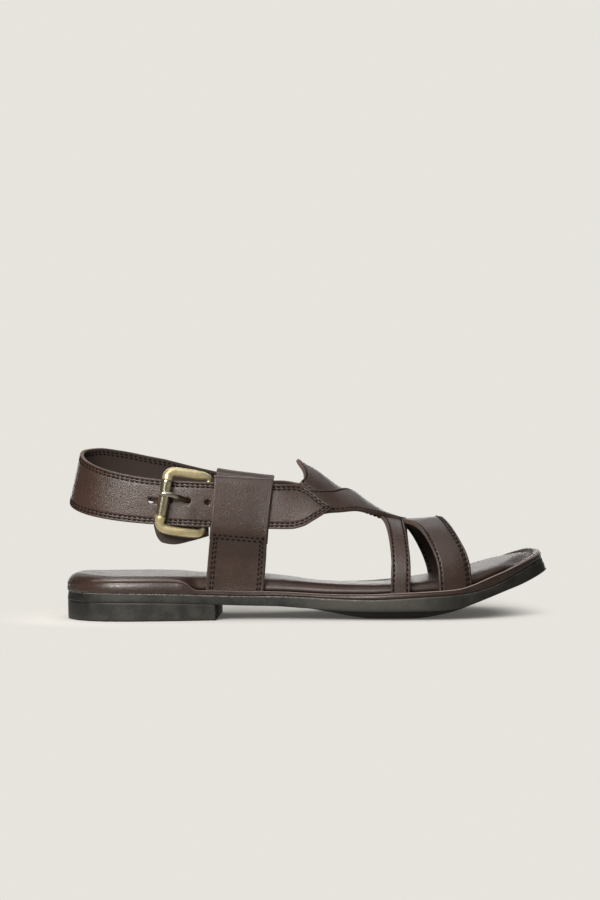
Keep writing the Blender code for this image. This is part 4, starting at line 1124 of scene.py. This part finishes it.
# %% Heel strap with its holes
def heel_strap_grid(across=60):
    """Grid of the heel strap: along the inner side, round the heel, along the outer side to the tab."""
    rows = []

    def beside(table, stations, side):
        z, lift = between_edges(table, stations, across), curve(table["x"], table["lift"])(stations)
        rows.extend(beside_last(stations[:, None], z, side, lift[:, None]))

    beside(STRAP_INNER, np.linspace(STRAP_INNER["x"][0], BEND_FROM, 50), 1)
    angles = np.linspace(BEND_ANGLE, -BEND_ANGLE, 113)
    z = between_edges(STRAP_BACK, angles, across)
    wide_in = beside_last(BACK_CENTRE, z, 1, STRAP_INNER["lift"][-1])[..., 1]
    wide_out = -beside_last(BACK_CENTRE, z, -1, STRAP_OUTER["lift"][0])[..., 1]
    reach = BACK_REACH_LOW + (BACK_REACH_HIGH - BACK_REACH_LOW) * np.linspace(0, 1, across)
    s, c = np.sin(np.radians(angles))[:, None], np.cos(np.radians(angles))[:, None]
    y = np.sign(s) * np.abs(s) ** BACK_SQUARE * np.where(s > 0, wide_in, wide_out)
    rows.extend(np.stack([BACK_CENTRE - reach * np.abs(c) ** BACK_SQUARE, y, z], -1))
    tab = np.linspace(0.7, STRAP_OUTER["x"][-1], 18)
    beside(STRAP_OUTER, np.r_[np.linspace(BEND_FROM, 0.0, 72), tab], -1)
    return np.array(rows)


PUNCH_REACH = (6.0, -14.0)   # from inside the strap to well outside it


def punch(station, height, wide, tall, sides=28):
    """A cutter for one hole, wide along the strap and tall across it."""
    foot = beside_last(station, height, -1, 0.0)
    angles = [2 * math.pi * k / sides for k in range(sides)]
    points = [foot + np.array([wide * math.cos(a), y, tall * math.sin(a)])
              for y in PUNCH_REACH for a in angles]
    faces = [(k, (k + 1) % sides, sides + (k + 1) % sides, sides + k) for k in range(sides)]
    faces += [tuple(range(sides)), tuple(range(2 * sides - 1, sides - 1, -1))]
    corners = sum(len(f) for f in faces)
    return mesh_of("punch", points, faces,
                   {"strap": [(0.0, 0.0)] * corners, "part": [(1.0, 0.0)] * corners})


PRESSED, PRESSED_WIDE = 0.3, 0.6     # depth and half width of the rim pressed round a hole
# Dents beside the roller: station, height, half length, half height, rise
PULLED = ((-78.5, 70.0, 5.0, 12.0, -0.45), (-70.5, 70.0, 3.5, 9.0, 0.25), (-66.0, 62.0, 4.0, 7.0, -0.2))


def worn(strap):
    """Soft dents beside the roller, and a pressed rim round each hole."""
    x, z = strap.rows[..., 0], strap.rows[..., 2]
    outer = strap.rows[..., 1] < 0
    height = np.zeros_like(x)
    for station, level_z, long, tall, depth in PULLED:
        height += depth * np.exp(-((x - station) / long) ** 2 - ((z - level_z) / tall) ** 2)
    for station, level_z in HOLES:
        near = np.hypot(x - station, z - level_z)
        height -= PRESSED * np.exp(-((near - HOLE) / PRESSED_WIDE) ** 2)
    return np.where(outer, height, 0.0)


heel_band = Strap(heel_strap_grid())
heel_strap_solid = strap_mesh("heel_strap_leather", heel_band, 0.0, HEEL_STRAP_WALL,
                              (STITCH_ROW, SECOND_ROW), worn)
punches = [punch(x, z, *(PRONG_HOLE if k == PRONG_IN else (HOLE, HOLE))) for k, (x, z) in enumerate(HOLES)]
heel_strap = finished(cut(heel_strap_solid, *punches), STRAP_LEATHER, "strap_leather", "heel_strap")
print("heel strap", round(heel_band.along[-1]), "mm long,", len(heel_strap.data.polygons), "faces")

# %% [markdown]
# ### Buckle guard
# A soft flap of thin leather under the buckle keeps the brass off the ankle. It is one more strap,
# turned so that its rows run up and down.

# %% Buckle guard
guard_stations = np.r_[-92.0, -91.7, -91.2, np.linspace(-90.5, -59.6, 40)]
guard_grid = beside_last(guard_stations[:, None], between_edges(GUARD, guard_stations, 40), -1, GUARD_LIFT)
guard_mesh = strap_mesh("guard_leather", Strap(guard_grid), 0.0, GUARD_WALL)
guard = finished(guard_mesh, SOFT_LEATHER, "guard_leather", "buckle_guard")
print("guard", len(guard.data.polygons), "faces")

# %% [markdown]
# ## Brass roller buckle
# The frame is cast bar, thinner where the roller turns on it and where it passes under the strap.
# A bar that follows a path is a job for Geometry Nodes: the path's points carry a radius, and
# Curve to Mesh sweeps a circle along it. The result is turned into a plain mesh.

# %% Bars that follow a path
def sweep(board, path, given):
    """A circle swept along the path, as wide as the radius that each of its points carries."""
    radius = board.add("GeometryNodeInputNamedAttribute", {"Name": "bar_radius"}, data_type="FLOAT")
    circle = board.add("GeometryNodeCurvePrimitiveCircle", {"Resolution": given["Sides"], "Radius": 1.0})
    return board.add("GeometryNodeCurveToMesh", {"Curve": path, "Profile Curve": circle.outputs[0],
                                                 "Scale": radius.outputs["Attribute"],
                                                 "Fill Caps": True}).outputs[0]


def bar_tree(material):
    return growing_tree("swept bar", [("Sides", "NodeSocketInt", 24)], material, sweep)


def swept_bar(name, points, radii, tree, closed=False, sides=24):
    """The mesh of a round bar along points, each with its own radius."""
    n = len(points)
    edges = [(i, (i + 1) % n) for i in range(n if closed else n - 1)]
    made = grown(name, points, edges, "bar_radius", np.asarray(radii) * MM, tree, Sides=sides)
    face_out(made)
    return made


# Toward the roller the frame swells to the roller's own thickness, so that only a dark seam parts them
SWELL = (-77.0, -84.0)     # stations between which it thickens
SWELL_FULL, SWELL_FADE = 1.5, 3.6    # it is full so far past the roller's end, and then fades by this
SEAM = (0.4, 0.15)         # the seam's length at each end, and the step out of it

brass_bar = bar_tree(BRASS)
frame_rows = round_through(FRAME, 24)
station, height, lift, thick = frame_rows.T
frame_path = beside_last(station, height, -1, lift)
beyond = np.maximum(height - ROLLER_HIGH[1], ROLLER_LOW[1] - height)
swell = eased(station, SWELL) * np.exp(-(np.maximum(beyond - SWELL_FULL, 0) / SWELL_FADE) ** 2)
swell *= np.clip((beyond - SEAM[0]) / SEAM[1], 0, 1)
frame_mesh = swept_bar("frame_brass", frame_path, thick + (ROLLER_OUT - 0.05 - thick) * swell, brass_bar,
                       closed=True, sides=32)
finished(frame_mesh, BRASS, "buckle_brass", "buckle_frame")
print("buckle frame", len(frame_mesh.polygons), "faces")

# %% Leather keeper round the hinge bar
# The overlay's end is turned round the hinge bar, so the bar itself hardly shows.
KEEPER_WALL = 0.42
wrapped = [i for i, row in enumerate(frame_rows) if row[3] <= HINGE + 0.02 and row[2] < 3.0]
keeper_mesh = swept_bar("hinge_keeper", frame_path[wrapped], np.full(len(wrapped), HINGE + KEEPER_WALL),
                        bar_tree(SOFT_LEATHER))
finished(keeper_mesh, SOFT_LEATHER, "upper_leather")
print("keeper", len(wrapped), "rows")

# %% Prong and roller
prong_rows = through(PRONG_PATH, 8)
prong_path = beside_last(prong_rows[:, 0], prong_rows[:, 1], -1, prong_rows[:, 2])
prong_mesh = swept_bar("prong_brass", prong_path, prong_rows[:, 3] * PRONG * 1.1, brass_bar, sides=18)
finished(prong_mesh, DARK_BRASS, "buckle_brass", "buckle_prong")


def turned(name, start, end, profile, sides=48):
    """A round piece about the line from start to end: (distance along, radius) rows, closed."""
    axis = (end - start) / np.linalg.norm(end - start)
    u = np.cross(axis, [0.0, 1.0, 0.0])
    u /= np.linalg.norm(u)
    v = np.cross(axis, u)
    angles = np.linspace(0, 2 * math.pi, sides, endpoint=False)
    points = [start + axis * along + (u * math.cos(a) + v * math.sin(a)) * radius
              for along, radius in profile for a in angles]
    rows = len(profile)
    faces = [(i * sides + k, i * sides + (k + 1) % sides, (i + 1) % rows * sides + (k + 1) % sides,
              (i + 1) % rows * sides + k) for i in range(rows) for k in range(sides)]
    return mesh_of(name, points, faces)


roller_low, roller_high = (beside_last(x, z, -1, ROLLER_LIFT) for x, z in (ROLLER_LOW, ROLLER_HIGH))
roller_long = float(np.linalg.norm(roller_high - roller_low))


ROLLER_END = [(0.0, ROLLER_IN), (0.0, ROLLER_OUT - 0.2), (0.06, ROLLER_OUT - 0.06), (0.15, ROLLER_OUT),
              (0.7, ROLLER_OUT)]
profile = ROLLER_END + [(roller_long - along, radius) for along, radius in ROLLER_END[::-1]]
finished(turned("roller_brass", roller_low, roller_high, profile), ROLLER_BRASS, "buckle_brass",
         "buckle_roller")
print("roller", round(roller_long, 1), "mm long")

# %% [markdown]
# ## Stitches
# Over a thousand stitches are all alike: a short length of waxed thread, bedded in its dip. Each
# row is a guide line on the leather with the surface's normal stored on its points. A Geometry
# Nodes tree resamples the guide by the stitch pitch, puts a thread on each point, turns it along
# the row and square to the leather, and makes the copies real.

# %% A tree that sews along a guide
def stitch_path(board, path, given):
    """A long ball of thread at every pitch of the path, turned along it and square to the leather."""
    spaced = board.add("GeometryNodeResampleCurve", {"Curve": path, "Length": given["Pitch"]}, mode="LENGTH")
    facing = board.add("GeometryNodeInputNamedAttribute", {"Name": "facing"}, data_type="FLOAT_VECTOR")
    along = board.add("GeometryNodeInputTangent")
    turned_x = board.add("FunctionNodeAlignRotationToVector", {"Vector": along.outputs[0]}, axis="X")
    turned_z = board.add("FunctionNodeAlignRotationToVector", {
        "Rotation": turned_x.outputs[0], "Vector": facing.outputs["Attribute"]}, axis="Z", pivot_axis="X")
    ball = board.add("GeometryNodeMeshUVSphere", {"Segments": 6, "Rings": 5, "Radius": 0.5})
    size = board.add("ShaderNodeCombineXYZ", {0: given["Length"], 1: given["Width"], 2: given["Width"]})
    return board.add("GeometryNodeInstanceOnPoints", {
        "Points": spaced.outputs[0], "Instance": ball.outputs["Mesh"], "Rotation": turned_z.outputs[0],
        "Scale": size.outputs[0]}).outputs[0]


SEWING = growing_tree("sewing", [("Pitch", NUMBER, 0.003), ("Length", NUMBER, 0.0023),
                                 ("Width", NUMBER, 0.00105)], THREAD, stitch_path)
PITCH_MM, STITCH_MM, THREAD_MM = 3.0, 2.3, 1.05    # from stitch to stitch, one stitch, and its thickness


def sew(name, guides, slot_name):
    """Thread along each guide, a list of (points, normals) rows in millimetres."""
    points, facing, edges = [], [], []
    for row, normals in guides:
        edges += [(len(points) + i, len(points) + i + 1) for i in range(len(row) - 1)]
        points += row
        facing += normals
    made = grown(name, points, edges, "facing", facing, SEWING,
                 Pitch=PITCH_MM * MM, Length=STITCH_MM * MM, Width=THREAD_MM * MM)
    return finished(made, THREAD, slot_name)


def edge_row(strap, distance, far_side, lift, end=None, under=False):
    """Guide along a strap at a distance from one edge, as far as a place along it."""
    end = strap.along[-1] if end is None else end
    keep = [i for i, s in enumerate(strap.along) if s <= end and strap.width[i] > 2 * distance + 0.6]
    placed = [strap.place(i, distance, far_side, lift) for i in keep]
    return [p for p, _ in placed], [-n if under else n for _, n in placed]


def cross_row(strap, row, margin, lift, count=30):
    """Guide across a strap at one of its rows."""
    placed = [strap.place(row, d, False, lift) for d in np.linspace(margin, strap.width[row] - margin, count)]
    return [p for p, _ in placed], [n for _, n in placed]


THREAD_LIFT = 0.08     # the thread's middle above the bottom of its dip
SIDES = (False, True)  # the near and the far edge of a strap

# %% Sewing the upper and the heel strap
on_top = STRAP_WALL - THREAD_DIP + THREAD_LIFT
guides = [edge_row(strap, STITCH_ROW, far, on_top) for strap in straps.values() for far in SIDES]
guides.append(edge_row(straps["toe_band"], SECOND_ROW, True, STRAP_WALL + THREAD_LIFT))
guides += [edge_row(strap, STITCH_ROW, far, -THREAD_LIFT, under=True)
           for strap in straps.values() for far in SIDES]
upper_thread = sew("upper_thread", guides, "upper_leather")

on_top = HEEL_STRAP_WALL - THREAD_DIP + THREAD_LIFT
guides = []
for distance in (STITCH_ROW, SECOND_ROW):
    for far in SIDES:
        guides.append(edge_row(heel_band, distance, far, on_top))
        guides.append(edge_row(heel_band, distance, far, -THREAD_LIFT, under=True))
heel_thread = sew("heel_strap_thread", guides, "strap_leather")
print("sewn:", len(upper_thread.data.polygons), "and", len(heel_thread.data.polygons), "faces")

# %% Sewing the loops
BOXES = ((33.6, 2.4), (35.4, 4.0))   # rows across a loop: down from its fold, and in from its edges
on_top = LOOP_WALL / 2 + THREAD_LIFT
guides = []
for name, strap in loops.items():
    below_fold = LOOP_EDGES[name]["rear"][2] - strap.rows[:, 0, 2]
    outer_ply = int(np.argmax(strap.rows[:, 0, 2]))
    for down, margin in BOXES:
        row = int(np.argmin(np.abs(below_fold[:outer_ply] - down)))
        guides.append(cross_row(strap, row, margin, on_top))
        guides += [edge_row(strap, margin, far, on_top, end=strap.along[row]) for far in SIDES]
loop_thread = sew("loop_thread", guides, "loop_leather")
print("sewn:", len(loop_thread.data.polygons), "faces")

# %% [markdown]
# ## Floor and light
# The sandal stands on a pale seamless floor. Under and beside the shoe the floor is an ordinary
# matt surface that takes a soft shadow. A little further out it fades to the same pale tone as the
# surroundings, so that no horizon shows. A soft lamp low at the front left stands near the heel, so
# its sheen on the leather is strongest there and weakens toward the toe. A low warm card behind is
# mirrored in the footbed, a weaker one above it lies along the crest of the upper, and the lamps in
# front and overhead are weak, so that what leans upward stays dark.

# %% Floor
PALE = colour(231, 228, 222)
FLOOR_TONE = (0.82, 0.80, 0.765, 1.0)
HEEL_END, TOE_END = -0.12, 0.078    # the floor fades by its distance in metres from this line
BEHIND = 0.5                         # behind the shoe the fade is this much slower
FADE_FROM, FADE_TO = 0.03, 0.075     # where the fade begins and where it is complete
LEAST_FADE = 0.08                    # its share under the shoe

floor_material, board, shader = new_material("pale floor")
board.set(shader, {"Roughness": 0.9, "Specular IOR Level": 0.0, "Base Color": FLOOR_TONE})
seen = board.add("ShaderNodeLightPath").outputs["Is Camera Ray"]
glow = board.add("ShaderNodeEmission", {"Color": PALE,
                                        "Strength": board.math("MULTIPLY_ADD", seen, 0.7, 0.3)})
x, y = board.split(board.place())
past_end = board.math("MAXIMUM", board.math("SUBTRACT", x, TOE_END), board.math("SUBTRACT", HEEL_END, x))
past_end = board.math("MAXIMUM", past_end, 0.0)
beside = board.math("MAXIMUM", board.times(y, -1.0), board.times(y, BEHIND))
away = board.math("SQRT", board.math("ADD", board.times(past_end, past_end), board.times(beside, beside)))
fade = board.add("ShaderNodeMixShader", {0: board.ramp(away, FADE_FROM, FADE_TO, LEAST_FADE, 1.0),
                                         1: shader.outputs[0], 2: glow.outputs[0]})
board.set(board.tree.nodes["Material Output"], {"Surface": fade.outputs[0]})

floor_mesh = bpy.data.meshes.new("floor")
floor_mesh.from_pydata([(-8, -8, 0), (8, -8, 0), (8, 12, 0), (-8, 12, 0)], [], [(0, 1, 2, 3)])
floor_mesh.materials.append(floor_material)
floor = bpy.data.objects.new("floor", floor_mesh)
bpy.context.scene.collection.objects.link(floor)

# %% Lights and surroundings
ROOM_LIGHT, ROOM_MIRRORED = 0.5, 0.11   # what the surroundings give, and how bright a gloss shows them

world = bpy.data.worlds.new("surroundings")
world.use_nodes = True
board = Board(world.node_tree)
ray = board.add("ShaderNodeLightPath").outputs
mirrored = board.add("ShaderNodeMix", {0: ray["Is Glossy Ray"], 2: ROOM_LIGHT, 3: ROOM_MIRRORED})
seen = board.add("ShaderNodeMix", {0: ray["Is Camera Ray"], 2: mirrored.outputs[0], 3: 1.0})
board.set(world.node_tree.nodes["Background"], {"Color": PALE, "Strength": seen.outputs[0]})
bpy.context.scene.world = world
bpy.context.scene.view_settings.view_transform = "Standard"


def softbox(name, turned, raised, away, size, bright, aim=(0.0, 0.0, 0.04), tone=(1.0, 1.0, 1.0)):
    """A lamp turned to the left of the front and raised above the floor, in degrees."""
    data = bpy.data.lights.new(name, "AREA")
    data.shape, data.size, data.size_y = "RECTANGLE", size[0], size[1]
    data.energy = bright * math.pi * size[0] * size[1]
    data.color = tone
    light = bpy.data.objects.new(name, data)
    a, b = math.radians(turned), math.radians(raised)
    where = away * Vector((-math.sin(a) * math.cos(b), -math.cos(a) * math.cos(b), math.sin(b)))
    light.location = where + Vector(aim)
    light.rotation_euler = (-where).to_track_quat("-Z", "Y").to_euler()
    bpy.context.scene.collection.objects.link(light)


WARM = (1.0, 0.965, 0.93)
softbox("key", 22.0, 27.0, 0.46, (0.215, 0.17), 18.5, aim=(-0.09, -0.03, 0.06), tone=(1.0, 0.97, 0.93))
softbox("brow", 5.0, 55.0, 1.3, (1.0, 0.4), 1.4)
softbox("overhead", 0.0, 88.0, 1.3, (1.0, 0.7), 1.2)
softbox("back_card", 180.0, 4.0, 1.6, (1.6, 0.4), 3.6, tone=WARM)
softbox("back_sky", 180.0, 34.0, 1.6, (1.6, 0.5), 1.6)
print("stage ready")
